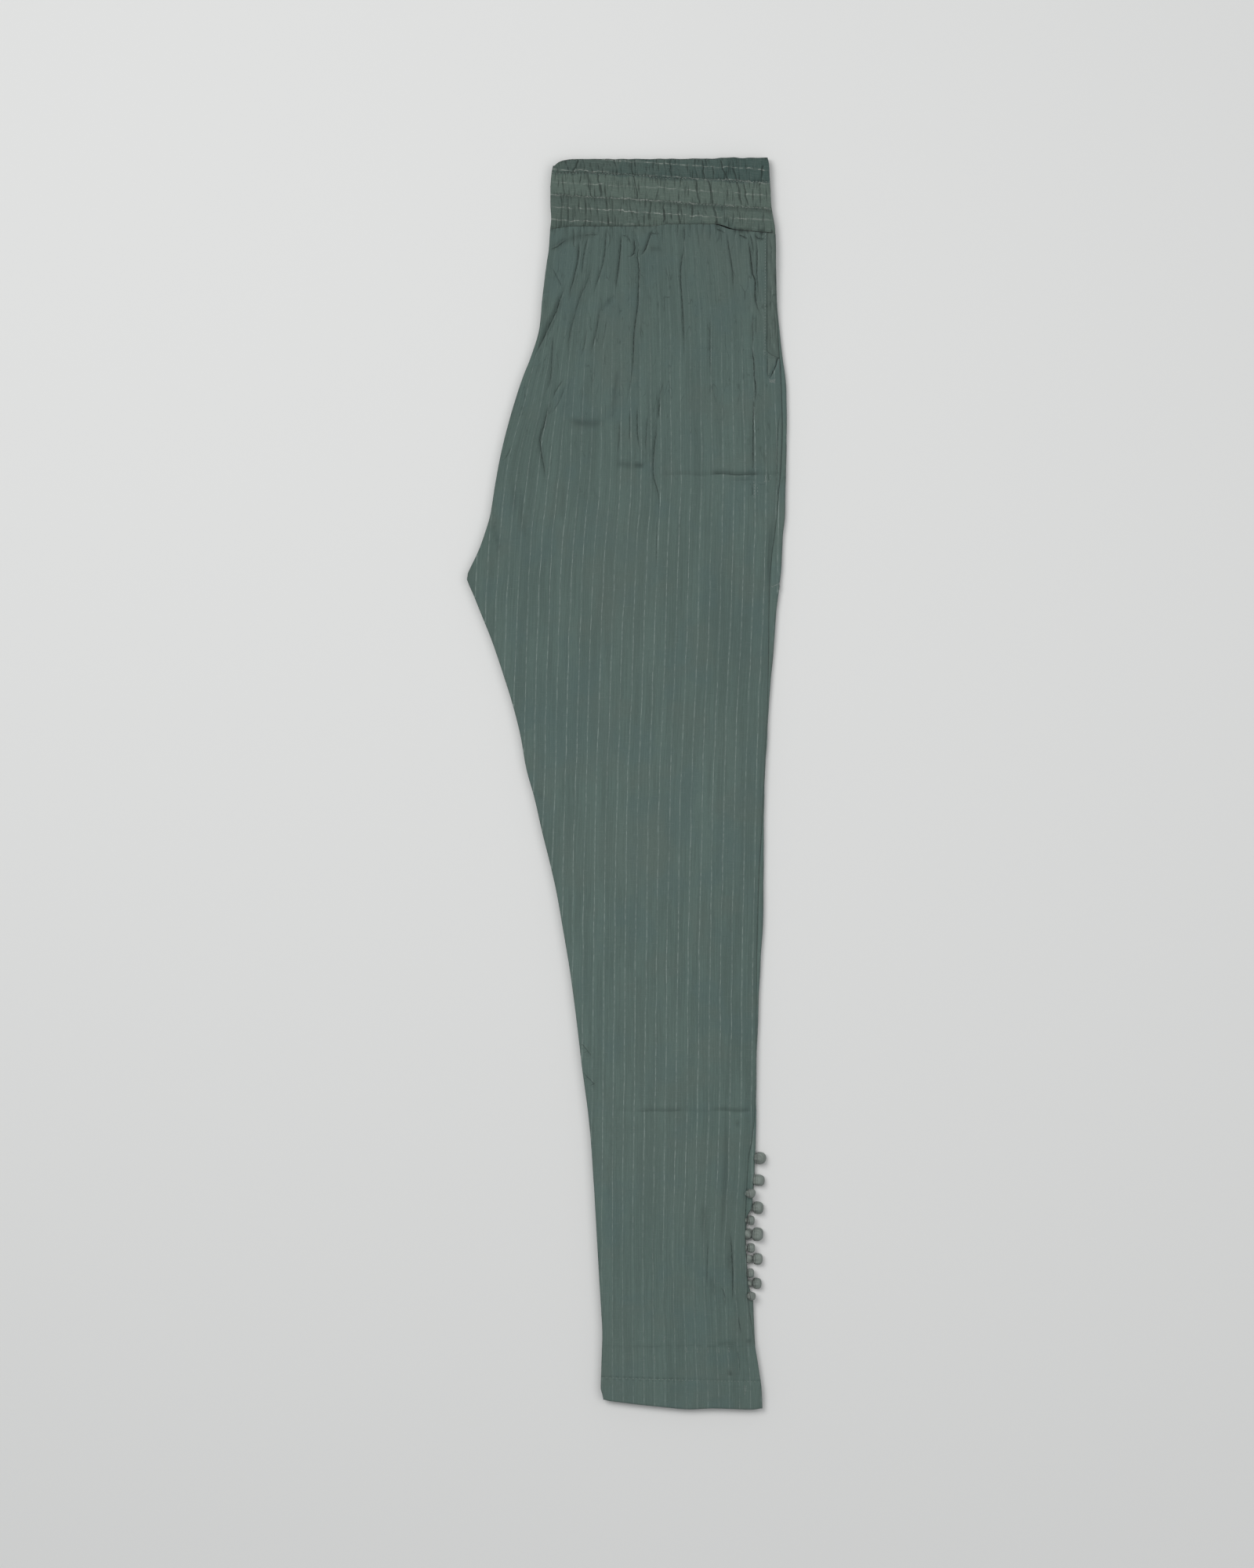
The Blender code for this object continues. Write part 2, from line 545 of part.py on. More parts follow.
def build_waistband():
    """The elastic band's front: one strip in three channels, its cloth gathered by the elastic."""
    lines = (WAIST_EDGE, BAND_ROW_1, BAND_ROW_2, BAND_SEAM)
    spread = np.linspace(0.0, 1.0, BAND_COLUMNS)
    middle = 0.5 * BAND_SEAM[0][1]
    line_x = left_edge(middle) + spread * (upper_edge(middle) - left_edge(middle))
    at_lines = [line_at(line, line_x) for line in lines]
    down = []
    channel = []
    share = []
    for number in range(BAND_CHANNELS):
        for step in np.arange(BAND_ROWS_PER_CHANNEL) / BAND_ROWS_PER_CHANNEL:
            down.append((1.0 - step) * at_lines[number] + step * at_lines[number + 1])
            channel.append(number)
            share.append(step)
    down.append(at_lines[-1])
    channel.append(BAND_CHANNELS - 1)
    share.append(1.0)
    down = np.array(down)
    down[0] += RIM
    down[-1] -= RIM
    left = left_edge(down) + RIM
    right = upper_edge(down) - RIM
    x = left + spread[None, :] * (right - left)
    channel = np.repeat(np.array(channel)[:, None], BAND_COLUMNS, axis=1)
    share = np.repeat(np.array(share)[:, None], BAND_COLUMNS, axis=1)
    wall = band_wall(x, down, channel, share)
    cloth_wall("waistband", x, down, BAND_PILE + GAP, wall, plain_under="lengthways")


def facing_left(down):
    """The x where the strip behind the pocket mouth begins, beside the front panel's edge."""
    return front_edge(down) + GAP


def build_pocket_facing():
    """The strip of cloth behind the side pocket's mouth, which shows beside the front panel's edge."""
    across = np.linspace(0.0, 1.0, FACING_COLUMNS)
    x, down = panel_grid((FACING_FROM, *MOUTH_STATIONS), across, facing_left, upper_edge, RIM)
    cloth_wall("pocket_facing", x, down, pile_height(down) + GAP, np.full(x.shape, FACING_WALL))


def hidden_left(down):
    """The x of the hidden layers' edge at the rise and inseam, just within the front panel's."""
    return left_edge(down) + GAP


def hidden_upper_edge(down):
    """The x of the upper leg's hidden back at the outseam, just within the front panel's."""
    return upper_edge(down) - GAP


def build_hidden_layers():
    """The upper leg's back over the lower leg's two sides, with the band's own layers at the waist.

    They touch all over, so they are one solid with a flat underside, and its three rounded
    lips show the layers all round. The lower leg's two lips reach past the upper one.
    """
    stations = np.concatenate((HIDDEN_HEAD, HIDDEN_BODY, HIDDEN_LEG, HIDDEN_ANKLE))
    across = np.linspace(0.0, 1.0, HIDDEN_COLUMNS)
    outseams = (lower_edge, lower_edge, hidden_upper_edge)
    # Share of the pile's height, how far the edge is drawn in, and the outseam that it follows.
    profile = [(0.0, LIP_TUCK, lower_edge)]
    for number, outseam in enumerate(outseams):
        for share, inset in LIP[1:] if number == 0 else LIP:
            profile.append(((number + share) / len(outseams), inset, outseam))
    profile.append((1.0, TOP_TUCK, hidden_upper_edge))
    ends = ((0, WAIST_EDGE, HIDDEN_LEVEL_FROM), (-1, HEM_EDGE, LEVEL_TO))
    levels = []
    for share, inset, outseam in profile:
        x, down = panel_grid(stations, across, hidden_left, outseam, inset, ends)
        down[0] += HIDDEN_SHORT_AT_WAIST
        down[-1] -= HIDDEN_SHORT_AT_HEM
        levels.append(stack(x, down, share * pile_height(down)))
    layered_solid("hidden_layers", levels, "hidden_layers")


def build_button(name, row, root, thickness):
    """A covered ball on a short rolled stalk, turned about the line from its root to its middle."""
    value = dict(zip(BUTTON_COLUMNS, row))
    start = to_metres(root)
    centre = to_metres((value["x"], value["down"], value["high"]))
    axis = (centre - start).normalized()
    reach = (centre - start).length / MM
    half = 0.5 * value["long"]
    ball_from = reach - half
    stalk = 0.5 * thickness
    along = [0.0, 0.0, max(ball_from, STALK_SHORTEST)]
    radius = [0.0, stalk, stalk * STALK_TAPER]
    for share, size in BUTTON_PROFILE:
        along.append(ball_from + share * value["long"])
        radius.append(0.5 * value["wide"] * size)
    along.append(reach + half)
    radius.append(0.0)
    work = bmesh.new()
    bmesh.ops.create_uvsphere(work, u_segments=BUTTON_SIDES, v_segments=len(along) - 1, radius=1.0)
    turn = Vector((0.0, 0.0, 1.0)).rotation_difference(axis)
    for v in work.verts:
        ring = round((len(along) - 1) * (Vector((0.0, 0.0, -1.0)).angle(v.co)) / math.pi)
        outward = Vector((v.co.x, v.co.y, 0.0))
        if 0 < ring < len(along) - 1:
            outward.normalize()
        place = outward * radius[ring] * MM + Vector((0.0, 0.0, along[ring] * MM))
        v.co = start + turn @ place
    return add_object(name, work, "ball_button")


def build_buttons():
    """Two rows at the ankle vent: the lower leg's stand off its outseam, the upper leg's nearer in."""
    for number, row in enumerate(LOWER_BUTTONS, 1):
        down = row[1]
        root = (float(lower_edge(down)) + LOWER_STALK_CLEARANCE, down, LEG_PILE * STALK_ROOT)
        build_button(f"ball_button_lower_{number}", row, root, LOWER_STALK_THICKNESS)
    for number, row in enumerate(UPPER_BUTTONS, 1):
        down = row[1]
        root = (float(upper_edge(down)) + UPPER_STALK_CLEARANCE, down, LEG_PILE * UPPER_BACK_MIDDLE)
        build_button(f"ball_button_upper_{number}", row, root, UPPER_STALK_THICKNESS)


for old in list(bpy.data.objects):
    bpy.data.objects.remove(old, do_unlink=True)
GARMENT = bpy.data.collections.new("folded_straight_pants")
bpy.context.scene.collection.children.link(GARMENT)

build_hidden_layers()
build_front_panel()
build_waistband()
build_pocket_facing()
build_buttons()
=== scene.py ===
"""Straight pants in grey-green pinstriped cotton, folded leg on leg and laid flat.

Sizes are in millimetres until a mesh is made. "Down" is the distance from the waist edge
towards the hem, and x is measured from the middle of the folded garment.
"""

import math

import bpy
import numpy as np
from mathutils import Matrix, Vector


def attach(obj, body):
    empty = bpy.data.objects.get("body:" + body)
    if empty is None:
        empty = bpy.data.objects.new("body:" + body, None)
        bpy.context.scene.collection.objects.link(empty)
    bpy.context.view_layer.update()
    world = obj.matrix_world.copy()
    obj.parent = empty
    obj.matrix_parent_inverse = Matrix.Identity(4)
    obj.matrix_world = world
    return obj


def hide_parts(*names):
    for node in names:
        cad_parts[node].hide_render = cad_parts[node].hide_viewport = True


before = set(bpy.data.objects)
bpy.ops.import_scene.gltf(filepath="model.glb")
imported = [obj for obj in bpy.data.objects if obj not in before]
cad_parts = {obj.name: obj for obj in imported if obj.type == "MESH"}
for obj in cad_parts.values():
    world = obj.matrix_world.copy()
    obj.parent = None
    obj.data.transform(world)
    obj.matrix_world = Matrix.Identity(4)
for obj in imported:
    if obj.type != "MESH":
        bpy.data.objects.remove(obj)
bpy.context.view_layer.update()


# Three hidden leg panels
# Under the front that shows lie the same leg's back and then the other leg, its back above
# its front. Each is one layer of light cotton, and seams join them in pairs at both edges.
MM = 0.001
LENGTH = 956.0
SEAM_GAP = 0.3

# The pile of hidden layers: its height along the legs and at the waist, the share of its own
# third that each layer fills, and the share left open under it.
LEG_PILE = 6.3
BAND_PILE = 8.4
HIDDEN_LAYERS = 3
LAYER_FILL = 0.94
LAYER_GAP = 0.02

# The folded garment's outline: how far down, and the x of its left edge and of each outseam.
OUTLINE_COLUMNS = ("down", "left", "upper", "lower")
OUTLINE = (
    (0.0, -52.5, 107.3, 107.6),
    (3.6, -55.2, 108.2, 108.6),
    (7.2, -56.7, 108.6, 109.1),
    (14.4, -57.9, 108.9, 109.4),
    (24.0, -58.5, 109.5, 110.0),
    (36.0, -58.5, 110.1, 110.6),
    (46.8, -57.9, 111.9, 112.4),
    (54.0, -58.6, 113.0, 113.6),
    (69.6, -59.7, 113.7, 114.3),
    (81.6, -61.5, 113.7, 114.4),
    (105.6, -64.5, 113.9, 114.9),
    (129.6, -66.9, 115.0, 116.7),
    (153.6, -74.1, 116.4, 119.7),
    (165.6, -78.9, 117.3, 121.4),
    (177.6, -83.1, 117.9, 122.3),
    (201.6, -90.3, 118.5, 122.5),
    (225.6, -96.3, 117.9, 122.0),
    (249.6, -100.8, 116.4, 121.5),
    (273.6, -104.7, 114.3, 120.9),
    (285.6, -108.3, 113.1, 119.8),
    (297.6, -112.5, 111.3, 119.1),
    (309.6, -118.0, 110.1, 118.4),
    (316.5, -121.4, 109.5, 117.8),
    (320.5, -122.5, 109.2, 117.4),
    (324.5, -121.3, 109.0, 117.0),
    (333.6, -117.3, 108.6, 116.1),
    (345.6, -112.5, 108.4, 114.5),
    (369.6, -102.9, 108.2, 112.8),
    (393.6, -94.8, 107.8, 110.8),
    (417.6, -87.3, 107.2, 109.0),
    (441.6, -81.3, 106.0, 107.5),
    (465.6, -77.1, 105.0, 106.0),
    (489.6, -70.5, 103.8, 105.4),
    (513.6, -65.1, 102.7, 104.9),
    (537.6, -59.1, 101.3, 104.7),
    (561.6, -53.7, 100.3, 104.6),
    (585.6, -49.5, 99.7, 104.1),
    (621.6, -43.5, 99.0, 102.0),
    (657.6, -38.7, 98.7, 100.5),
    (693.6, -34.5, 98.2, 99.4),
    (729.6, -29.7, 97.4, 99.3),
    (747.6, -27.9, 95.7, 99.0),
    (762.0, -26.8, 93.2, 98.3),
    (775.0, -26.0, 92.1, 97.9),
    (789.6, -25.0, 91.4, 96.9),
    (801.0, -24.4, 90.8, 96.2),
    (809.0, -23.9, 90.5, 92.2),
    (825.6, -23.0, 90.5, 91.3),
    (846.0, -21.8, 91.5, 92.3),
    (861.6, -20.9, 92.0, 93.2),
    (871.0, -20.3, 92.8, 96.6),
    (879.6, -19.8, 93.5, 96.9),
    (897.6, -18.9, 96.2, 97.6),
    (921.6, -19.6, 100.2, 99.6),
    (939.6, -20.1, 102.8, 101.6),
    (943.5, -19.0, 103.1, 101.9),
    (956.0, -16.5, 103.5, 102.3),
)
BAND_SEAM = ((-59.0, 54.8), (-42.0, 52.6), (18.0, 52.4), (32.0, 50.9), (66.0, 50.9), (80.0, 54.8),
             (114.0, 58.0))
HEM_EDGE = ((-20.0, 944.0), (-17.0, 948.0), (-2.7, 950.4), (29.7, 954.0), (47.7, 955.5), (66.0, 954.8),
            (95.7, 955.7), (103.5, 954.8))

# Every sixth or so of the pale threads, and where it runs: how far down, then the x of each.
WEFT_PITCH = 0.7
WARP_PITCH = 0.6
STRIPE_PITCH = 8.1
STRIPE_NUMBERS = (-12, -6, 0, 6, 11)
STRIPE_RUN = (
    (57.7, -58.2, -29.1, 1.5, 43.5, 82.5),
    (93.7, -62.1, -32.7, 2.1, 45.9, 85.5),
    (129.7, -65.7, -36.9, 2.1, 48.3, 87.9),
    (177.7, -75.9, -40.5, 2.7, 48.3, 88.5),
    (237.7, -91.5, -43.5, 3.3, 48.9, 90.0),
    (297.7, -97.5, -49.5, -0.3, 47.1, 89.1),
    (357.7, -100.5, -51.9, -3.3, 45.9, 87.3),
    (417.7, -102.3, -53.7, -5.1, 43.5, 84.3),
    (477.7, -103.5, -54.9, -7.5, 41.1, 82.5),
    (537.7, -105.6, -57.0, -8.7, 39.9, 81.3),
    (597.7, -106.2, -57.6, -9.3, 38.7, 80.1),
    (717.7, -107.1, -58.5, -10.5, 37.5, 78.9),
    (777.7, -107.7, -59.1, -11.1, 36.3, 77.1),
    (837.7, -107.7, -59.1, -11.1, 35.1, 74.1),
    (906.7, -107.7, -59.1, -11.1, 36.3, 76.5),
    (942.7, -107.7, -59.1, -11.1, 37.3, 78.1),
)


def smooth_curve(known_at, known, at):
    """A cubic through the known values that never swings past them."""
    known_at = np.asarray(known_at, float)
    known = np.asarray(known, float)
    span = np.diff(known_at)
    rise = np.diff(known) / span
    slope = np.zeros(len(known))
    same_way = rise[:-1] * rise[1:] > 0.0
    total = np.where(same_way, rise[:-1] + rise[1:], 1.0)
    slope[1:-1] = np.where(same_way, 2.0 * rise[:-1] * rise[1:] / total, 0.0)
    slope[0] = rise[0]
    slope[-1] = rise[-1]
    at = np.clip(at, known_at[0], known_at[-1])
    i = np.clip(np.searchsorted(known_at, at, side="right") - 1, 0, len(span) - 1)
    t = (at - known_at[i]) / span[i]
    between = known[i] * (1 + 2 * t) * (1 - t) ** 2 + known[i + 1] * t * t * (3 - 2 * t)
    return between + span[i] * (slope[i] * t * (1 - t) ** 2 - slope[i + 1] * t * t * (1 - t))


def edge(name, down):
    """The x of one of the garment's edges at a distance down it."""
    place = OUTLINE_COLUMNS.index(name)
    return smooth_curve([row[0] for row in OUTLINE], [row[place] for row in OUTLINE], down)


def left_edge(down):
    """The x of the rise and inseam edge."""
    return edge("left", down)


def line_at(line, at):
    """The second value of a line's pairs, where their first is at: how far down it lies at x."""
    return smooth_curve(*zip(*line), at)


def smooth_step(value, start, end):
    """Rises from 0 at start to 1 at end, level at both."""
    t = np.clip((value - start) / (end - start), 0.0, 1.0)
    return t * t * (3.0 - 2.0 * t)


def pile_height(down):
    """Height of the hidden layers, which are thickest under the elastic band."""
    return BAND_PILE + (LEG_PILE - BAND_PILE) * smooth_step(down, 72.0, 140.0)


def ripple(x, down, size, seed):
    """Soft uneven waves of about one size crossing each other, mostly within -1 and 1."""
    draw = np.random.default_rng(seed)
    total = np.zeros(np.broadcast(x, down).shape)
    for _ in range(9):
        turn = draw.uniform(0.0, math.pi)
        wave = 2.0 * math.pi / (size * draw.uniform(0.7, 1.5))
        start = draw.uniform(0.0, 2.0 * math.pi)
        total += np.sin(wave * (x * math.cos(turn) + down * math.sin(turn)) + start)
    return total / 3.6


def stripe_number(x, down):
    """Which pale thread runs at a point of a leg, counted across from the middle one."""
    stations, *courses = zip(*STRIPE_RUN)
    runs = [smooth_curve(stations, course, down) for course in courses]
    number = STRIPE_NUMBERS[0] + (x - runs[0]) / STRIPE_PITCH
    for k in range(len(runs) - 1):
        share = (x - runs[k]) / (runs[k + 1] - runs[k])
        between = STRIPE_NUMBERS[k] + (STRIPE_NUMBERS[k + 1] - STRIPE_NUMBERS[k]) * share
        number = np.where(x > runs[k], between, number)
    number = np.where(x > runs[-1], STRIPE_NUMBERS[-1] + (x - runs[-1]) / STRIPE_PITCH, number)
    return number + 0.035 * ripple(x * 2.0, down, 45.0, 3)


def leg_cloth_map(x, down):
    """The leg cloth's own map: pale threads across, millimetres along."""
    return np.dstack((stripe_number(x, down), down))


def feed(tree, node, given):
    """Gives a node's inputs their values, or links them to other nodes' outputs."""
    for label, value in given.items():
        if isinstance(value, bpy.types.NodeSocket):
            tree.links.new(value, node.inputs[label])
        else:
            node.inputs[label].default_value = value


def add_node(tree, kind, given=None, **settings):
    """A new node with its settings, and what its inputs are given."""
    made = tree.nodes.new(kind)
    for key, value in settings.items():
        setattr(made, key, value)
    feed(tree, made, given or {})
    return made


def pinstriped_cotton(name, ground, stripe, cool, warm, shows=(0.0, 1.0), crumpled=(0.0, 1.0),
                      wrinkles=((0.75, 0.022), (2.1, 0.055)), faint=(808.0, 110.0), thinnest=0.42):
    """The cotton: pale slubbed threads, finer ones between, uneven dye, a plain weave and painted shade in
    its folds.

    The first four colours are the cloth's, its pale threads' and those of its two uneven dyes;
    shows is how far along the pale threads begin to stand out, and where they do in full;
    crumpled is how far along the hairline wrinkles are thickest, and where few are left;
    wrinkles is how often the two kinds of them turn, across and along. faint is how far along
    the pale threads are worn again, and the reach of that; thinnest is what is left of a worn one.
    """
    material = bpy.data.materials.new(name)
    material.use_nodes = True
    tree = material.node_tree

    def maths(operation, first, second=0.0):
        return add_node(tree, "ShaderNodeMath", {0: first, 1: second}, operation=operation).outputs[0]

    def times(first, second):
        return maths("MULTIPLY", first, second)

    def plus(first, second):
        return maths("ADD", first, second)

    def ramp(value, low, high, start=0.0, end=1.0):
        given = dict(enumerate((value, low, high, start, end)))
        made = add_node(tree, "ShaderNodeMapRange", given, interpolation_type="SMOOTHSTEP")
        return made.outputs["Result"]

    def noise_at(place, scale, detail):
        given = {"Vector": place.outputs[0], "Scale": scale, "Detail": detail}
        return add_node(tree, "ShaderNodeTexNoise", given).outputs["Fac"]

    def noise(across, along, detail=2.0, offset=0.0):
        place = add_node(tree, "ShaderNodeCombineXYZ", {0: across, 1: along, 2: offset})
        return noise_at(place, 1.0, detail)

    def cloud(scale, detail, offset):
        at = add_node(tree, "ShaderNodeTexCoord").outputs["Object"]
        place = add_node(tree, "ShaderNodeMapping", {"Vector": at, "Location": (offset, offset, 0.0)})
        return noise_at(place, scale, detail)

    def mixed(share, first, second):
        given = {"Factor": share, 6: first, 7: second}
        return add_node(tree, "ShaderNodeMix", given, data_type="RGBA").outputs[2]

    def shaded(colour, by):
        return tuple(part * by for part in colour) + (1.0,)

    def mark(label):
        return add_node(tree, "ShaderNodeAttribute", attribute_name=label).outputs["Fac"]

    cloth_map = add_node(tree, "ShaderNodeUVMap", uv_map="cloth")
    across, along, _ = add_node(tree, "ShaderNodeSeparateXYZ", {0: cloth_map.outputs[0]}).outputs

    # The pale thread: even in places, thick or worn away in others, and it wanders a little.
    nearest = maths("ROUND", across)
    wander = times(plus(noise(times(nearest, 5.3), times(along, 0.05), 3.0), -0.5), 0.5)
    off_thread = plus(maths("SUBTRACT", across, nearest), times(wander, 0.1))
    from_thread = times(maths("ABSOLUTE", off_thread), STRIPE_PITCH)
    worn = noise(times(nearest, 3.7), times(along, 0.018), 3.0, 4.0)
    slub = noise(times(nearest, 9.1), times(along, 0.22), 4.0, 8.0)
    strength = times(ramp(worn, 0.34, 0.54, thinnest, 1.0), ramp(slub, 0.38, 0.64, thinnest - 0.07, 1.1))
    strength = times(strength, ramp(along, shows[0], shows[1], 0.3, 1.0))
    from_faint = maths("ABSOLUTE", plus(along, -faint[0]))
    strength = times(strength, ramp(from_faint, 0.4 * faint[1], faint[1], 0.55, 1.0))
    thread = times(ramp(from_thread, 0.1, 0.42, 1.0, 0.0), strength)

    # Finer threads and streaks between, and short thick places lying across.
    streak = noise(times(across, 7.0), times(along, 0.02), 4.0, 2.0)
    fine = noise(times(across, 22.0), times(along, 0.16), 3.0, 6.0)
    crossing = noise(times(across, 0.9), times(along, 1.3), 2.0, 12.0)
    slot = maths("ABSOLUTE", plus(maths("FRACT", times(across, 5.0)), -0.5))
    minor = times(ramp(slot, 0.06, 0.2, 1.0, 0.0), ramp(fine, 0.45, 0.65))

    broad = noise(times(across, 0.9), times(along, 0.007), 2.0, 23.0)
    streaky = ramp(plus(streak, times(plus(broad, -0.5), 0.7)), 0.32, 0.68)
    colour = mixed(streaky, shaded(ground, 0.885), shaded(ground, 1.075))
    colour = mixed(times(ramp(cloud(34.0, 2.0, 0.0), 0.5, 0.66), 0.5), colour, shaded(cool, 1.0))
    colour = mixed(times(ramp(cloud(27.0, 2.0, 5.0), 0.52, 0.68), 0.5), colour, shaded(warm, 1.0))
    wash = mark("wash")
    colour = mixed(ramp(wash, 0.5, 0.0), colour, shaded(cool, 0.95))
    colour = mixed(ramp(wash, 0.5, 1.0), colour, shaded(warm, 1.06))
    colour = mixed(ramp(fine, 0.56, 0.36, 0.0, 0.16), colour, shaded(ground, 0.6))
    colour = mixed(times(minor, 0.15), colour, shaded(stripe, 1.0))
    colour = mixed(times(ramp(crossing, 0.6, 0.72), 0.14), colour, shaded(stripe, 0.9))
    colour = mixed(times(ramp(crossing, 0.34, 0.22), 0.3), colour, shaded(ground, 0.5))
    colour = mixed(times(thread, 0.8), colour, shaded(stripe, 1.08))
    # Painted shade: the fold mark darkens the cloth in folds, creases, puckers and seams, towards the waist
    # and at the buttons' necks.
    colour = mixed(times(mark("fold"), 0.75), colour, shaded(ground, 0.22))

    # Hairline wrinkles run along two slow noises' contours, broken here and there: bumps, with painted shade
    # along their hairlines.
    amount = ramp(along, crumpled[0], crumpled[1], 1.0, 0.12)
    ridges = []
    hairs = []
    for (wide, tall), offset, rare in zip(wrinkles, (21.0, 33.0), (0.5, 0.53)):
        ridge = plus(noise(times(across, wide), times(along, tall), 2.0, offset), -0.5)
        patches = noise(times(across, 1.1), times(along, 0.06), 2.0, offset + 5.0)
        kept = times(ramp(patches, rare, rare + 0.1), amount)
        ridges.append(times(ramp(ridge, -0.05, 0.05), kept))
        hairs.append(times(ramp(maths("ABSOLUTE", ridge), 0.002, 0.012, 1.0, 0.0), kept))
    hair = maths("MAXIMUM", hairs[0], times(hairs[1], 0.7))
    colour = mixed(times(hair, 0.34), colour, shaded(ground, 0.25))

    # A crease is a painted dark line of shade where the distance from it passes nothing, with a painted
    # highlight on its lip and on the pale threads there.
    crease = mark("crease")
    shake = plus(noise(times(across, 3.0), times(along, 0.4), 2.0, 17.0), -0.5)
    shaky = plus(mark("beside"), times(shake, 0.9))
    broken = ramp(noise(times(across, 2.0), times(along, 0.3), 2.0, 27.0), 0.32, 0.58, 0.5, 1.1)
    line = times(times(ramp(maths("ABSOLUTE", shaky), 0.05, 0.52, 1.0, 0.0), crease), broken)
    painted_lip_highlight = times(ramp(maths("ABSOLUTE", plus(shaky, -1.1)), 0.1, 0.8, 1.0, 0.0), crease)
    colour = mixed(times(painted_lip_highlight, 0.16), colour, shaded(stripe, 0.9))
    colour = mixed(times(times(painted_lip_highlight, thread), 0.8), colour, shaded(stripe, 1.5))
    # Painted shade: the crease's dark line.
    colour = mixed(times(line, 0.72), colour, shaded(ground, 0.16))

    # The relief is the weave's two sets of threads and all that was drawn above, but finer.
    arch = maths("PINGPONG", across, 0.5)
    weft = maths("SINE", times(along, 2.0 * math.pi / WEFT_PITCH))
    warp = maths("SINE", times(across, 2.0 * math.pi * STRIPE_PITCH / WARP_PITCH))
    height = plus(times(times(weft, warp), 0.1), times(fine, 0.35))
    height = plus(height, times(crossing, 0.3))
    height = plus(height, times(maths("SQRT", arch), 0.55))
    height = plus(height, times(thread, 0.35))
    height = plus(height, times(plus(ridges[0], times(ridges[1], 0.5)), 1.3))
    height = plus(height, plus(times(hair, -0.8), times(line, -1.6)))
    bump = add_node(tree, "ShaderNodeBump", {"Strength": 0.55, "Distance": 0.00022, "Height": height})
    feed(tree, tree.nodes["Principled BSDF"], {
        "Base Color": colour,
        "Normal": bump.outputs[0],
        "Roughness": ramp(fine, 0.2, 0.8, 0.78, 0.94),
        "Sheen Weight": 0.12,
        "Sheen Roughness": 0.5,
        "Specular IOR Level": 0.22,
    })
    return material


LEG_COTTON = pinstriped_cotton(
    "leg_cotton", ground=(0.0977, 0.1433, 0.1277), stripe=(0.205, 0.252, 0.236),
    cool=(0.087, 0.134, 0.127), warm=(0.103, 0.138, 0.121),
    shows=(80.0, 270.0), crumpled=(110.0, 330.0), faint=(885.0, 110.0))


def row_stations(*runs):
    """How far down the rows of points lie, from each run's start, end and step."""
    return np.concatenate([np.arange(*run) for run in runs])


def panel_grid(stations, across, sides, inset, head, foot):
    """x and down of a panel's points. Its rows are level, but bend into a line at each end.

    head and foot are a line and how far from it the rows are level again.
    """
    left_of, right_of = sides
    stations = np.asarray(stations, float)
    down = np.repeat(stations[:, None], len(across), axis=1)
    for (line, level_from), home in ((head, stations[0]), (foot, stations[-1])):
        x_there = left_of(home) + across * (right_of(home) - left_of(home))
        share = np.clip((stations - level_from) / (home - level_from), 0.0, 1.0)
        down += share[:, None] * (line_at(line, x_there) - home)[None, :]
    down[0] += inset
    down[-1] -= inset
    left = left_of(down) + inset
    right = right_of(down) - inset
    return left + across[None, :] * (right - left), down


def put_in_scene(name, data):
    """A new object in the scene for a mesh, a lamp or a camera."""
    made = bpy.data.objects.new(name, data)
    bpy.context.scene.collection.objects.link(made)
    return made


def cloth_piece(name, points, faces, cloth_map, marks, material):
    """A smooth closed piece of cloth, with the cloth's own map and the marks at each point."""
    mesh = bpy.data.meshes.new(name)
    mesh.from_pydata(points, [], faces)
    corner = np.empty(len(mesh.loops), dtype=np.int32)
    mesh.loops.foreach_get("vertex_index", corner)
    chart = mesh.uv_layers.new(name="cloth")
    chart.uv.foreach_set("vector", cloth_map[corner].astype(np.float32).ravel())
    for label, values in marks.items():
        stored = mesh.attributes.new(label, "FLOAT", "POINT")
        stored.data.foreach_set("value", values.astype(np.float32))
    mesh.materials.append(material)
    mesh.shade_smooth()
    return put_in_scene(name, mesh)


def faces_between(ring, following):
    """Faces that join two closed rings of points."""
    return np.stack((ring, np.roll(ring, -1), np.roll(following, -1), following), axis=-1).tolist()


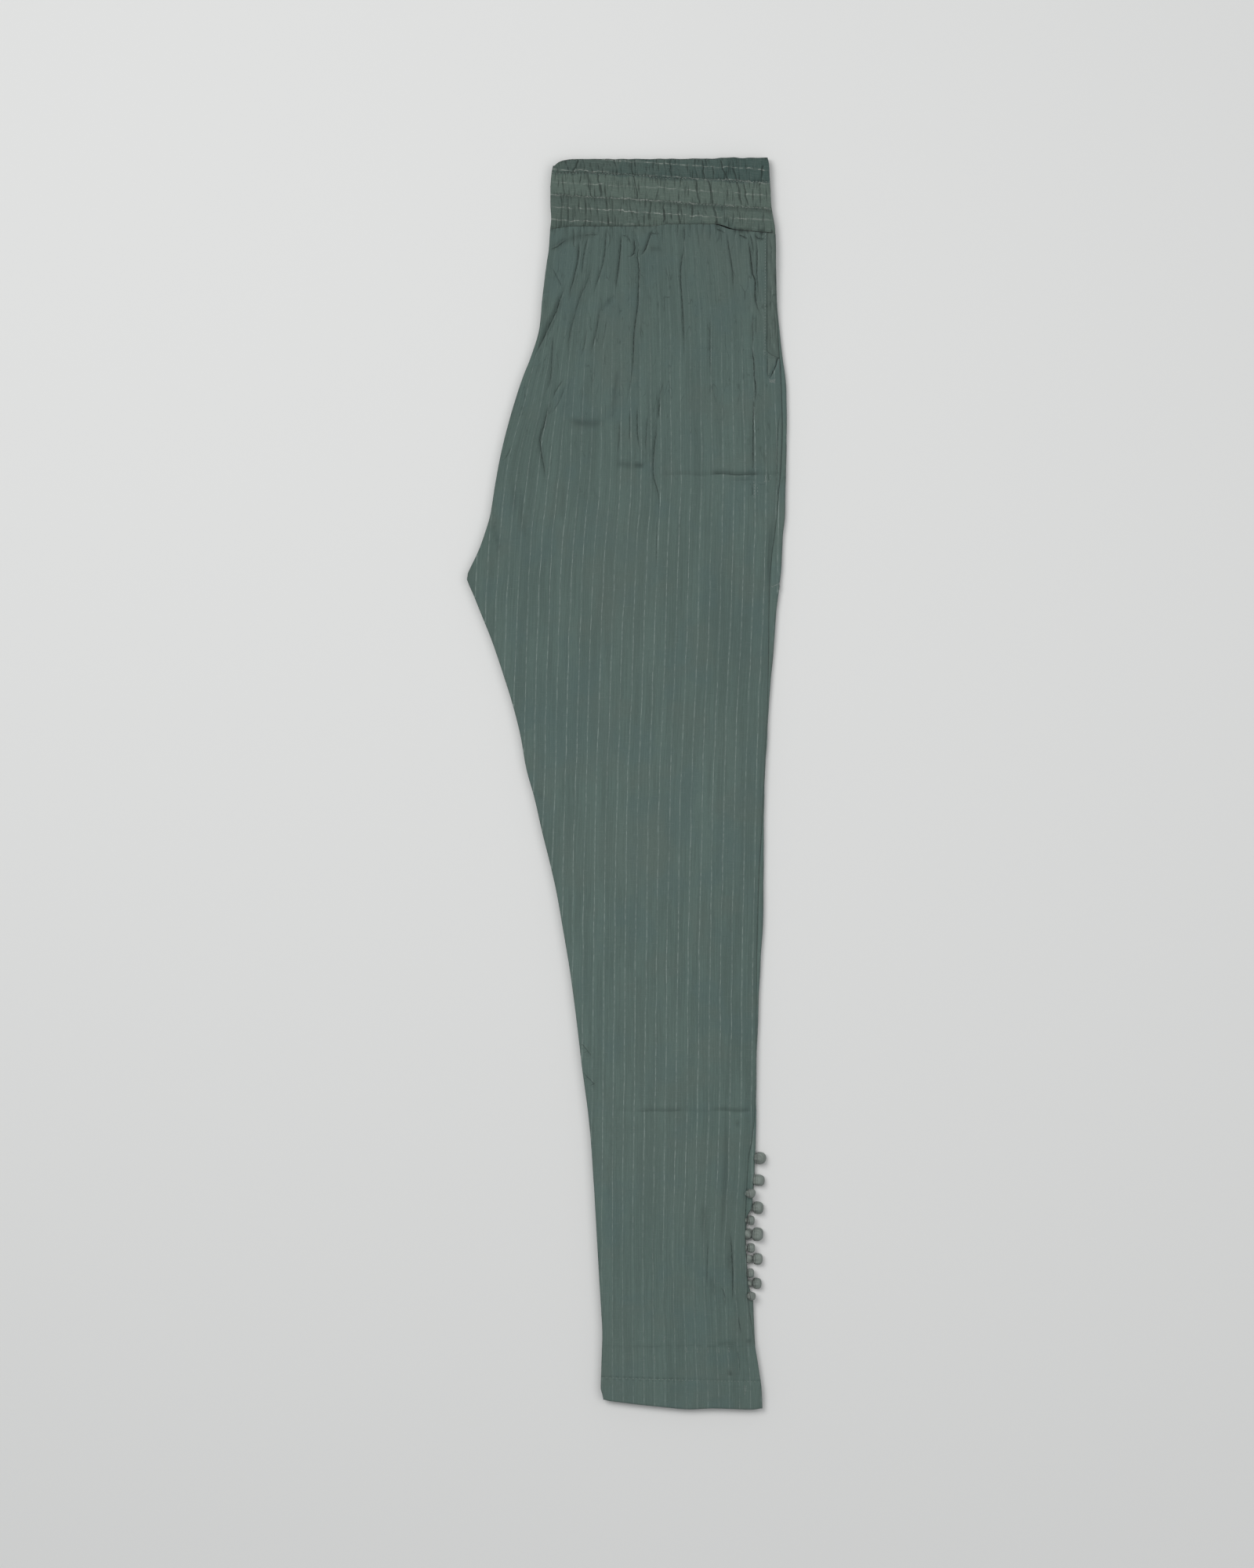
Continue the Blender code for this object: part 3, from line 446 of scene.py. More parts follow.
def cloth_sheet(name, levels, cloth_map, marks, material, plain_under=False):
    """A closed sheet of cloth from grids of points, lowest first.

    The first grid is the underside, the last the top, and the borders of those between are
    the rim. A plain underside has one face to a row. The map and the marks are the top's:
    fold is painted shade, wash turns the dye, beside is how far off a crease is, and crease
    the strength of the crease's painted dark line and highlight.
    """
    rows, columns = levels[0].shape[:2]
    number = np.arange(rows * columns).reshape(rows, columns)
    border = np.concatenate((number[0], number[1:, -1], number[-1, -2::-1], number[-2:0:-1, 0]))
    quads = np.stack((number[:-1, :-1], number[1:, :-1], number[1:, 1:], number[:-1, 1:]), axis=-1)
    quads = quads.reshape(-1, 4)
    faces = quads.tolist()
    taken = [np.arange(rows * columns)]
    points = [levels[-1].reshape(-1, 3)]
    above = border
    start = rows * columns
    for grid in levels[-2:0:-1]:
        ring = np.arange(start, start + len(border))
        points.append(grid.reshape(-1, 3)[border])
        taken.append(border)
        faces += faces_between(above, ring)
        above = ring
        start += len(border)
    under = levels[0].reshape(-1, 3)
    if plain_under:
        ring = np.arange(start, start + len(border))
        points.append(under[border])
        taken.append(border)
    else:
        ring = start + border
        points.append(under)
        taken.append(np.arange(rows * columns))
        faces += (quads[:, ::-1] + start).tolist()
    faces += faces_between(above, ring)
    if plain_under:
        right = ring[columns - 1:columns - 1 + rows]
        left = np.roll(ring, -1)[::-1][:rows]
        faces.append(ring[:columns].tolist() + [int(right[1]), int(left[1])])
        for r in range(1, rows - 2):
            faces.append([int(left[r]), int(right[r]), int(right[r + 1]), int(left[r + 1])])
        foot = ring[columns + rows - 2:2 * columns + rows - 2].tolist()
        faces.append([int(left[rows - 2]), int(right[rows - 2])] + foot)
    place = np.concatenate(points)
    place = np.column_stack((place[:, 0], LENGTH / 2.0 - place[:, 1], place[:, 2])) * MM
    taken = np.concatenate(taken)
    shape = (rows, columns)
    marks = {label: np.broadcast_to(given, shape).reshape(-1)[taken] for label, given in marks.items()}
    return cloth_piece(name, place.tolist(), faces, cloth_map.reshape(-1, 2)[taken], marks, material)


# A seam joins two panels of a leg at their edges, so the upper one's edge rolls down to it
# and the lower one's rolls up: share of the thickness, then how far the edge is drawn in.
ROLLED_DOWN = ((0.0, 0.35), (0.1, 0.08), (0.3, 0.0), (0.55, 0.12), (0.78, 0.42), (0.94, 0.95), (1.0, 1.6))
ROLLED_UP = ((0.0, 1.6), (0.06, 0.95), (0.22, 0.42), (0.45, 0.12), (0.7, 0.0), (0.9, 0.08), (1.0, 0.35))

# Past the upper leg's edge the lower leg is no longer pressed, so it stands fuller by this share.
MARGIN_LIFT = 0.58

# A panel's rows bend into the band's seam and the hem, and are level again this far down.
LEG_HEAD = (BAND_SEAM, 75.0)
LEG_FOOT = (HEM_EDGE, 925.0)


def leg_panel_under(name, layer, outseam, rim, seed):
    """One hidden panel, a third of the pile thick, its edges a little uneven."""
    stations = row_stations(
        (54.0, 330.0, 4.6), (330.0, 740.0, 7.5), (740.0, 900.0, 2.5), (900.0, LENGTH, 4.0))
    across = np.concatenate((np.linspace(0.0, 0.95, 34), np.linspace(0.955, 1.0, 18)))
    drawn_in = 0.35 if outseam == "lower" else 0.6

    def left_side(down):
        return left_edge(down) + 0.35 + 0.3 * ripple(0.0, down, 38.0, seed)

    def outseam_side(down):
        return edge(outseam, down) - drawn_in - 0.25 * ripple(0.0, down, 38.0, seed)

    gap = LAYER_GAP if layer else 0.0
    levels = []
    for share, inset in rim:
        x, down = panel_grid(stations, across, (left_side, outseam_side), inset, LEG_HEAD, LEG_FOOT)
        down[0] += SEAM_GAP
        down[-1] -= 0.5 + 0.4 * layer
        lift = 1.0
        if outseam == "lower":
            lift = 1.0 + MARGIN_LIFT * smooth_step(x - edge("upper", down), -1.1, 0.1)
        height = pile_height(down) / HIDDEN_LAYERS * (layer + gap + LAYER_FILL * share)
        levels.append(np.dstack((x, down, lift * height)))
    chart = leg_cloth_map(levels[-1][:, :, 0], levels[-1][:, :, 1])
    chart[:, :, 0] += 0.37 * (layer + 1)
    return cloth_sheet(name, levels, chart, {"wash": 0.5}, LEG_COTTON)


# The seams and hems are held by cotton thread a little paler than the cloth, sewn by machine.
THREAD_THICKNESS = 0.42
THREAD_SUNK = 0.05
THREAD_COLOUR = (0.222, 0.262, 0.242)


def sewing_tree():
    """A node tree that lays stitches along every line of a mesh, each a little longer or shorter."""
    tree = bpy.data.node_groups.new("machine_stitches", "GeometryNodeTree")
    tree.interface.new_socket("Line", in_out="INPUT", socket_type="NodeSocketGeometry")
    for label, usual in (("Pitch", 2.6), ("Stitch Length", 1.9), ("Thickness", THREAD_THICKNESS)):
        socket = tree.interface.new_socket(label, in_out="INPUT", socket_type="NodeSocketFloat")
        socket.default_value = usual * MM
    tree.interface.new_socket("Thread", in_out="INPUT", socket_type="NodeSocketMaterial")
    tree.interface.new_socket("Stitches", in_out="OUTPUT", socket_type="NodeSocketGeometry")
    given = add_node(tree, "NodeGroupInput").outputs
    curve = add_node(tree, "GeometryNodeMeshToCurve", {"Mesh": given["Line"]})
    spaced = add_node(
        tree, "GeometryNodeResampleCurve", {"Curve": curve.outputs["Curve"], "Length": given["Pitch"]},
        mode="LENGTH")
    tangent = add_node(tree, "GeometryNodeInputTangent")
    along = add_node(
        tree, "FunctionNodeAlignRotationToVector", {"Vector": tangent.outputs[0]}, axis="Y")
    uneven = add_node(
        tree, "FunctionNodeRandomValue", {2: 0.7, 3: 1.15, "Seed": 7}, data_type="FLOAT")
    length = add_node(
        tree, "ShaderNodeMath", {0: given["Stitch Length"], 1: uneven.outputs[1]}, operation="MULTIPLY")
    size = add_node(
        tree, "ShaderNodeCombineXYZ", {0: given["Thickness"], 1: length.outputs[0], 2: given["Thickness"]})
    bead = add_node(tree, "GeometryNodeMeshUVSphere", {"Segments": 8, "Rings": 5, "Radius": 0.5})
    placed = add_node(tree, "GeometryNodeInstanceOnPoints", {
        "Points": spaced.outputs["Curve"],
        "Instance": bead.outputs["Mesh"],
        "Rotation": along.outputs["Rotation"],
        "Scale": size.outputs[0],
    })
    real = add_node(tree, "GeometryNodeRealizeInstances", {"Geometry": placed.outputs["Instances"]})
    smooth = add_node(tree, "GeometryNodeSetShadeSmooth", {"Geometry": real.outputs["Geometry"]})
    painted = add_node(
        tree, "GeometryNodeSetMaterial",
        {"Geometry": smooth.outputs["Geometry"], "Material": given["Thread"]})
    add_node(tree, "NodeGroupOutput", {"Stitches": painted.outputs["Geometry"]})
    return tree


def cotton_thread():
    """The sewing thread: twisted cotton, its strands light and dark along it."""
    material = bpy.data.materials.new("sewing_thread")
    material.use_nodes = True
    tree = material.node_tree
    at = add_node(tree, "ShaderNodeTexCoord").outputs["Object"]
    strands = add_node(tree, "ShaderNodeTexNoise", {"Vector": at, "Scale": 1400.0}).outputs["Fac"]
    tone = add_node(tree, "ShaderNodeValToRGB", {"Fac": strands})
    dark_end, light_end = tone.color_ramp.elements
    dark_end.position = 0.35
    dark_end.color = tuple(0.55 * part for part in THREAD_COLOUR) + (1.0,)
    light_end.position = 0.62
    light_end.color = THREAD_COLOUR + (1.0,)
    bump = add_node(tree, "ShaderNodeBump", {"Strength": 0.4, "Distance": 0.0001, "Height": strands})
    feed(tree, tree.nodes["Principled BSDF"], {
        "Base Color": tone.outputs["Color"],
        "Normal": bump.outputs["Normal"],
        "Roughness": 0.62,
        "Sheen Weight": 0.2,
    })
    return material


SEWING = sewing_tree()
THREAD = cotton_thread()


def sewn(name, surface, courses, pitch, stitch):
    """Stitches along courses of x and down, half sunk into the face of the cloth they hold."""
    points = []
    edges = []
    for course in courses:
        course = np.array(course, float)
        runs = np.concatenate(([0.0], np.cumsum(np.hypot(*np.diff(course, axis=0).T))))
        fine = np.linspace(0.0, runs[-1], max(2, int(runs[-1] / 0.8)))
        x = np.interp(fine, runs, course[:, 0])
        down = np.interp(fine, runs, course[:, 1])
        height = surface(x, down)[0] - THREAD_SUNK
        edges += [(i, i + 1) for i in range(len(points), len(points) + len(fine) - 1)]
        points += list(zip(x * MM, (LENGTH / 2.0 - down) * MM, height * MM))
    guide_mesh = bpy.data.meshes.new(name + "_line")
    guide_mesh.from_pydata(points, edges, [])
    guide = put_in_scene(name + "_line", guide_mesh)
    modifier = guide.modifiers.new("stitches", "NODES")
    modifier.node_group = SEWING
    sockets = {item.name: item.identifier for item in SEWING.interface.items_tree if item.in_out == "INPUT"}
    modifier[sockets["Pitch"]] = pitch * MM
    modifier[sockets["Stitch Length"]] = stitch * MM
    modifier[sockets["Thickness"]] = THREAD_THICKNESS * MM
    modifier[sockets["Thread"]] = THREAD
    seen = guide.evaluated_get(bpy.context.evaluated_depsgraph_get())
    mesh = bpy.data.meshes.new_from_object(seen)
    mesh.name = name
    bpy.data.objects.remove(guide, do_unlink=True)
    bpy.data.meshes.remove(guide_mesh)
    stitches = put_in_scene(name, mesh)
    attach(stitches, "root")
    return stitches


def margin_surface(x, down):
    """Height of the lower leg's face where it shows beyond the upper leg's outseam."""
    return pile_height(down) / HIDDEN_LAYERS * (1.0 + LAYER_GAP + LAYER_FILL) * (1.0 + MARGIN_LIFT), {}


lower_leg_front = leg_panel_under("lower_leg_front", 0, "lower", ROLLED_UP, 11)
lower_leg_back = leg_panel_under("lower_leg_back", 1, "lower", ROLLED_DOWN, 12)
upper_leg_back = leg_panel_under("upper_leg_back", 2, "upper", ROLLED_UP, 13)

# A bar of stitches and one tack in the lower leg's back, where it shows beside the upper leg.
margin_zigzag = [(110.6 + 0.36 * i, 327.6 - 0.17 * i + (0.45 if i % 2 else -0.45)) for i in range(17)]
margin_tack = [(116.3, 325.0), (116.7, 327.0), (116.4, 329.2)]
margin_bar = sewn(
    "margin_bar", margin_surface, [margin_zigzag, margin_tack], pitch=0.9, stitch=1.3)
for panel in (lower_leg_front, lower_leg_back, upper_leg_back):
    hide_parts("hidden_layers")
    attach(panel, "root")


# Upper leg front
# The side that shows: one panel of the same cotton from the waistband's seam to the hem. The
# elastic gathers its head, and it keeps two press creases from being packed in thirds.
FRONT_WALL = 2.0
FRONT_THINNEST = 0.9
FRONT_THICKEST = 3.6

# The pocket's mouth as down and x, its bag's edges, and the hem's row and turned edge.
POCKET_MOUTH = ((50.0, 107.1), (147.0, 107.1), (150.0, 109.5), (153.5, 116.8))
POCKET_BAG_EDGE = 96.3
POCKET_BAG_END = 247.0
HEM_STITCHING = ((-20.0, 931.0), (30.0, 932.6), (103.0, 934.4))
HEM_TURNED_EDGE = 907.0

# How far off a crease is still marked, and the faintest strength that is.
CREASE_REACH = 9.0
CREASE_FAINTEST = 0.02

# Folds of the gathered cloth: depth, half width and darkness of the crease, the height of
# the lip on its left (below nothing) or right (above), and its course as x and down.
FOLD_COLUMNS = ("depth", "width", "dark", "lip", "course")
FRONT_FOLDS = (
    (0.7, 0.9, 0.6, 0.3, ((-41.0, 53.0), (-40.6, 62.9), (-40.7, 71.5))),
    (0.9, 1.1, 0.9, -0.4, ((-36.7, 62.0), (-37.1, 74.0), (-40.1, 90.3), (-42.7, 99.7), (-46.2, 111.0))),
    (0.7, 1.0, 0.7, 0.3, ((-29.6, 60.0), (-32.9, 74.0), (-34.1, 83.5), (-35.2, 95.0))),
    (0.8, 1.6, 0.7, 0.5, ((-26.5, 82.0), (-31.1, 96.3), (-36.3, 107.5), (-39.3, 117.7), (-42.7, 130.6),
        (-44.5, 139.1), (-44.9, 148.6), (-47.0, 162.0))),
    (0.9, 1.0, 0.8, 0.4, ((-16.1, 53.0), (-16.6, 67.1), (-18.3, 80.0), (-21.3, 90.3), (-24.3, 99.7),
        (-26.6, 109.0))),
    (0.9, 1.0, 0.95, -0.4, ((-4.4, 57.0), (-5.0, 68.9), (-6.7, 86.0), (-8.5, 99.7), (-9.1, 107.0))),
    (0.5, 1.9, 0.5, 0.3, ((-8.9, 104.0), (-14.0, 110.0), (-20.0, 116.9), (-21.5, 121.0))),
    (0.7, 1.2, 0.65, -0.3, ((-20.6, 115.0), (-22.1, 124.6), (-23.5, 132.3), (-25.6, 140.9), (-28.4, 154.0))),
    (0.4, 0.9, 0.4, 0.2, ((-15.2, 123.0), (-17.0, 133.1), (-19.6, 148.0))),
    (0.4, 0.9, 0.45, 0.2, ((-30.6, 131.0), (-32.9, 144.3), (-36.2, 154.0))),
    (1.0, 1.1, 1.0, 0.5, ((5.3, 56.0), (8.7, 68.0), (7.9, 74.9), (9.1, 86.0), (8.7, 98.0), (8.3, 110.9),
        (6.5, 124.6), (5.3, 135.7), (4.9, 146.9), (4.0, 161.5), (2.3, 173.5), (0.1, 185.5), (-2.0, 196.0))),
    (0.9, 1.0, 1.1, -0.4, ((5.2, 62.0), (5.9, 69.5), (5.2, 73.8), (3.1, 75.6), (-1.0, 76.0))),
    (1.0, 1.0, 1.1, -0.6, ((19.6, 55.0), (17.9, 58.5), (16.0, 64.6), (13.4, 71.5), (10.0, 75.3),
        (8.2, 76.2))),
    (0.5, 0.8, 0.8, 0.2, ((-4.0, 59.5), (0.5, 60.7), (2.3, 64.6), (3.0, 67.0))),
    (0.5, 0.8, 0.7, 0.2, ((16.5, 58.0), (20.0, 58.2), (25.6, 58.0))),
    (0.6, 2.2, 0.5, 0.4, ((17.0, 69.6), (23.0, 70.2), (29.0, 70.3))),
    (1.2, 1.5, 1.1, -0.6, ((-47.5, 98.0), (-49.0, 103.0), (-51.3, 108.3), (-53.5, 116.0), (-58.6, 126.3),
        (-63.7, 137.5), (-68.9, 147.7), (-73.4, 157.5))),
    (0.6, 2.4, 0.8, -0.2, ((-49.8, 105.0), (-54.6, 118.0), (-61.0, 132.0), (-67.0, 144.0))),
    (0.5, 1.0, 0.5, 0.2, ((-57.3, 84.0), (-52.6, 92.9), (-48.8, 101.0))),
    (0.8, 1.3, 0.7, 0.4, ((-56.4, 134.0), (-57.3, 150.3), (-58.1, 165.7), (-59.9, 174.3), (-63.7, 181.1),
        (-65.6, 183.0))),
    (0.6, 1.0, 0.6, 0.3, ((-48.4, 169.0), (-54.3, 177.7), (-57.7, 186.0))),
    (0.5, 0.9, 0.5, 0.2, ((-46.9, 174.0), (-51.7, 185.5), (-58.2, 197.0))),
    (1.0, 1.6, 1.2, 0.5, ((-60.0, 188.0), (-62.4, 199.9), (-63.8, 206.3), (-66.5, 212.8), (-66.1, 221.1),
        (-64.7, 230.3), (-62.8, 240.5), (-62.2, 252.0))),
    (0.4, 1.0, 0.5, 0.2, ((-88.6, 221.5), (-91.5, 227.0), (-95.6, 232.6))),
    (0.7, 3.2, 0.75, 0.3, ((-44.5, 200.0), (-37.0, 202.4), (-26.0, 203.2), (-14.0, 200.5))),
    (0.4, 0.9, 0.5, 0.2, ((-5.4, 201.0), (-6.0, 214.6), (-7.6, 229.0))),
    (0.4, 0.8, 0.6, -0.2, ((2.2, 193.0), (2.1, 206.0), (1.7, 220.0))),
    (0.7, 1.1, 0.8, 0.4, ((7.8, 190.0), (7.8, 208.2), (9.2, 220.2), (10.2, 226.5))),
    (0.5, 2.8, 0.7, 0.3, ((-9.0, 233.5), (0.0, 234.5), (6.0, 235.0), (9.5, 235.0))),
    (0.8, 2.0, 1.3, 0.2, ((5.0, 234.8), (9.0, 235.0), (14.0, 235.0))),
    (0.7, 1.0, 0.9, -0.4, ((25.0, 182.0), (24.6, 190.0), (23.5, 201.5))),
    (0.8, 1.2, 0.8, -0.4, ((22.7, 202.0), (22.1, 211.9), (20.7, 221.1), (20.2, 229.4), (19.8, 236.8),
        (20.7, 246.0), (23.0, 252.5), (24.4, 259.0), (24.4, 277.0))),
    (0.4, 0.8, 0.5, 0.2, ((22.9, 275.0), (22.6, 294.0), (22.5, 318.0))),
    (0.6, 1.4, 0.6, 0.4, ((16.0, 196.0), (14.7, 208.2), (14.2, 220.2), (14.5, 228.0))),
    (0.5, 1.6, 0.5, 0.3, ((28.5, 170.0), (24.3, 184.9), (23.7, 200.0))),
    (0.5, 1.9, 0.5, -0.3, ((-5.9, 160.0), (-8.0, 171.7), (-9.3, 180.3), (-12.5, 207.0))),
    (0.9, 1.0, 0.95, 0.4, ((43.6, 65.0), (43.4, 68.9), (41.3, 80.0), (40.8, 91.1), (41.7, 106.6),
        (42.7, 122.0), (43.2, 136.6), (43.7, 157.0))),
    (0.6, 0.8, 0.7, 0.2, ((43.8, 53.0), (43.8, 66.0))),
    (0.7, 1.0, 0.8, -0.3, ((76.2, 57.0), (77.7, 68.9), (79.4, 79.1), (80.8, 88.6), (81.1, 106.0))),
    (0.5, 1.4, 0.5, 0.3, ((63.7, 120.0), (63.3, 144.1), (63.9, 172.0))),
    (0.9, 1.1, 1.3, 0.5, ((92.6, 62.0), (94.4, 76.6), (95.7, 88.6), (98.3, 96.3), (97.3, 101.5),
        (97.9, 107.5), (98.7, 112.6), (100.9, 117.7), (104.6, 125.0))),
    (0.4, 0.9, 0.9, -0.4, ((99.0, 64.0), (99.4, 74.0), (98.9, 90.0), (99.9, 97.5), (99.9, 104.0),
        (98.4, 111.0))),
    (0.5, 1.3, 1.2, 0.2, ((85.4, 59.3), (88.9, 60.7), (92.4, 62.3))),
    (0.5, 1.2, 1.0, 0.3, ((67.4, 54.2), (71.0, 55.8), (75.0, 58.2))),
    (0.5, 1.5, 1.0, 0.3, ((97.6, 58.0), (99.4, 61.8), (103.4, 62.6), (105.6, 60.0))),
    (0.4, 1.0, 0.8, 0.3, ((93.6, 58.0), (95.6, 66.0), (96.4, 76.0))),
    (0.4, 0.9, 0.6, 0.2, ((96.4, 118.0), (95.7, 128.0), (96.0, 139.0), (94.9, 145.1))),
    (0.4, 0.8, 0.5, 0.2, ((98.5, 120.0), (98.3, 129.0), (98.2, 138.0))),
    (0.8, 1.0, 1.1, 0.4, ((94.7, 143.0), (96.1, 151.1), (97.0, 158.9), (97.0, 168.3), (98.3, 175.1),
        (97.8, 192.0))),
    (0.5, 1.0, 0.9, 0.3, ((96.8, 178.0), (96.3, 200.0), (96.2, 225.0), (96.3, 254.0))),
    (0.3, 0.8, 0.6, 0.2, ((107.4, 60.0), (106.6, 80.0), (106.9, 98.0))),
    (0.3, 0.8, 0.75, 0.2, ((99.4, 249.0), (104.0, 249.3), (109.6, 249.0))),
    (0.2, 0.8, 0.7, 0.2, ((107.9, 240.5), (108.2, 244.0), (108.1, 248.0))),
    (0.2, 0.8, 0.6, 0.2, ((95.6, 248.0), (95.9, 255.0), (95.7, 262.0))),
    (0.4, 2.1, 0.7, -0.3, ((110.8, 276.0), (109.6, 291.0), (108.6, 304.0), (108.0, 318.0), (107.6, 334.0))),
    (0.3, 1.0, 0.5, 0.2, ((115.6, 250.0), (115.3, 258.0), (115.1, 264.0))),
    (0.4, 0.9, 0.6, 0.2, ((116.9, 195.0), (115.4, 205.0), (114.7, 222.0), (114.4, 245.0), (113.5, 262.0))),
    (0.5, 2.0, 0.6, 0.3, ((-102.3, 276.0), (-100.7, 286.6), (-97.9, 296.8), (-95.6, 306.0))),
    (0.4, 2.0, 0.5, 0.3, ((-86.2, 250.0), (-85.5, 272.0))),
    (0.4, 2.0, 0.5, 0.3, ((-81.5, 252.0), (-80.4, 270.0), (-79.5, 282.0), (-74.5, 295.0))),
    (0.3, 2.2, 0.4, 0.2, ((-48.1, 250.0), (-49.5, 282.0))),
    (0.6, 2.6, 0.6, 0.5, ((-59.0, 70.5), (-52.6, 68.0), (-49.1, 64.6), (-44.0, 62.9), (-33.7, 60.3),
        (-20.0, 59.0))),
    (0.6, 1.1, 0.9, 0.2, ((-58.6, 70.5), (-52.6, 68.0), (-48.8, 64.6), (-44.5, 63.0))),
    (0.4, 1.0, 0.7, 0.2, ((-32.5, 59.8), (-27.0, 58.8), (-20.5, 59.2))),
    (0.5, 2.0, 0.6, 0.4, ((76.6, 724.0), (75.9, 753.7), (74.7, 782.5), (72.9, 813.7), (70.5, 846.0))),
    (0.6, 1.2, 0.8, 0.4, ((78.9, 820.0), (80.1, 837.7), (80.7, 859.3), (80.0, 882.0))),
    (0.4, 1.9, 1.0, 0.2, ((83.5, 733.5), (84.3, 735.7), (85.5, 738.0))),
    (0.3, 1.0, 0.5, 0.2, ((62.0, 826.0), (61.0, 850.0), (61.2, 866.0))),
    (0.3, 1.0, 0.6, 0.2, ((85.0, 884.0), (86.3, 893.0), (87.5, 899.0))),
    (0.3, 2.0, 0.7, 0.2, ((90.6, 902.0), (93.0, 903.4), (96.5, 903.0))),
    (0.3, 1.9, 0.5, 0.2, ((68.0, 906.0), (75.0, 905.4), (86.0, 905.8))),
    (0.4, 1.9, 1.2, 0.2, ((78.0, 926.0), (78.8, 928.0), (79.2, 930.0))),
    (0.3, 1.6, 0.4, 0.2, ((83.6, 908.0), (86.0, 922.0), (85.2, 934.0))),
    (0.4, 2.0, 0.4, -0.3, ((58.5, 798.0), (59.1, 824.0))),
    (0.3, 2.2, 0.4, 0.3, ((74.6, 772.0), (73.9, 787.0), (73.6, 802.0))),
    (0.3, 1.8, 0.4, -0.3, ((78.6, 835.0), (78.0, 843.0), (78.2, 851.0))),
    (0.4, 1.3, 0.5, 0.4, ((72.0, 862.0), (74.6, 868.0), (75.0, 878.0))),
    (0.3, 2.2, 0.3, 0.2, ((-6.0, 739.0), (6.0, 739.6), (16.0, 739.0))),
    (0.4, 2.0, 0.5, 0.3, ((65.0, 854.0), (66.2, 871.0))),
    (0.6, 1.4, 0.7, 0.4, ((-35.2, 675.5), (-31.0, 680.6), (-26.0, 687.0))),
    (0.6, 1.4, 0.7, 0.4, ((-34.0, 697.8), (-28.0, 704.0), (-21.0, 711.0))),
    (0.5, 2.2, 0.5, 0.2, ((-67.5, 484.0), (-64.0, 492.0))),
    (0.5, 2.2, 0.5, 0.2, ((-29.5, 738.0), (-26.0, 746.0))),
    (0.7, 1.0, 1.3, 0.4, ((115.2, 149.5), (114.1, 157.1), (111.8, 162.6), (109.4, 167.5), (107.8, 171.0))),
    (0.4, 0.8, 0.7, 0.2, ((107.1, 146.0), (107.1, 158.0), (107.4, 172.0))),
)

# Press creases lie straight across: down, from x, to x, where they are sharpest and how sharp.
PRESS_CREASES = (
    (241.6, 21.0, 119.0, 68.7, 96.0, 0.9),
    (245.8, 74.0, 101.0, 80.0, 92.0, 0.4),
    (727.4, -14.0, 97.0, 14.0, 38.0, 0.5),
    (727.4, 60.0, 99.0, 66.0, 90.0, 0.6),
)

# Painted shade, deepest at the waist and fading down the leg: down, and by how much it darkens.
PAINTED_SHADE_DOWN_LEG = ((60.0, 0.28), (118.0, 0.215), (165.0, 0.195), (212.0, 0.2), (270.0, 0.155), (317.0, 0.155),
                (393.0, 0.105), (487.0, 0.035), (581.0, 0.045), (669.0, 0.03), (765.0, 0.0), (839.0, 0.02),
                (897.0, 0.0))

# Notches along the band's seam, with painted shade in them: x, half width and how dark.
SEAM_NOTCHES = (
    (-57.0, 1.2, 0.5), (-51.5, 0.6, 0.5), (-46.0, 0.8, 0.4), (-33.0, 0.7, 0.6), (-24.2, 0.9, 0.5),
    (-12.0, 0.7, 0.5), (-4.0, 0.6, 0.5), (6.5, 0.9, 0.6), (17.5, 0.8, 0.5), (58.5, 0.7, 0.5),
    (69.0, 1.7, 0.9), (82.5, 1.2, 0.8), (87.0, 2.4, 1.0), (92.0, 1.4, 0.8), (102.5, 2.0, 0.9),
    (111.0, 0.9, 0.8),
)

# Short gathers under the seam: x where each starts and how far down it runs.
GATHERS = (
    (-55.0, 9.0), (-46.5, 14.0), (-35.5, 12.0), (-25.0, 17.0), (-21.0, 9.0), (-11.5, 15.0), (-1.0, 10.0),
    (1.8, 13.0), (12.5, 8.0), (22.5, 12.0), (28.0, 20.0), (33.5, 11.0), (38.5, 16.0), (48.5, 12.0),
    (53.5, 24.0), (58.5, 14.0), (63.0, 19.0), (68.5, 12.0), (72.0, 22.0), (82.5, 12.0), (86.0, 26.0),
    (90.0, 10.0), (99.0, 18.0), (103.0, 11.0),
)


def front_edge(down):
    """The front panel's outseam edge, which follows the pocket mouth and then the outseam."""
    outseam = edge("upper", down)
    return np.where(down < POCKET_MOUTH[-1][0], np.minimum(line_at(POCKET_MOUTH, down), outseam), outseam)


def mound(off, half_width):
    """1 on a line, and falling away smoothly on both sides of it."""
    return np.exp(-(off / half_width) ** 2)


def keep_nearest(creases, off, strength, shows):
    """How far off the nearest crease is and its strength, once one more that shows is counted."""
    beside, crease = creases
    nearer = (np.abs(off) < np.abs(beside)) & shows
    return np.where(nearer, off, beside), np.where(nearer, strength, crease)


def face_marks(dark, wash, creases):
    """The marks at each point, by the names that the cotton reads them by."""
    beside, crease = creases
    wash = np.clip(wash, 0.0, 1.0)
    return {"fold": np.clip(dark, 0.0, 1.0), "wash": wash, "beside": beside, "crease": crease}


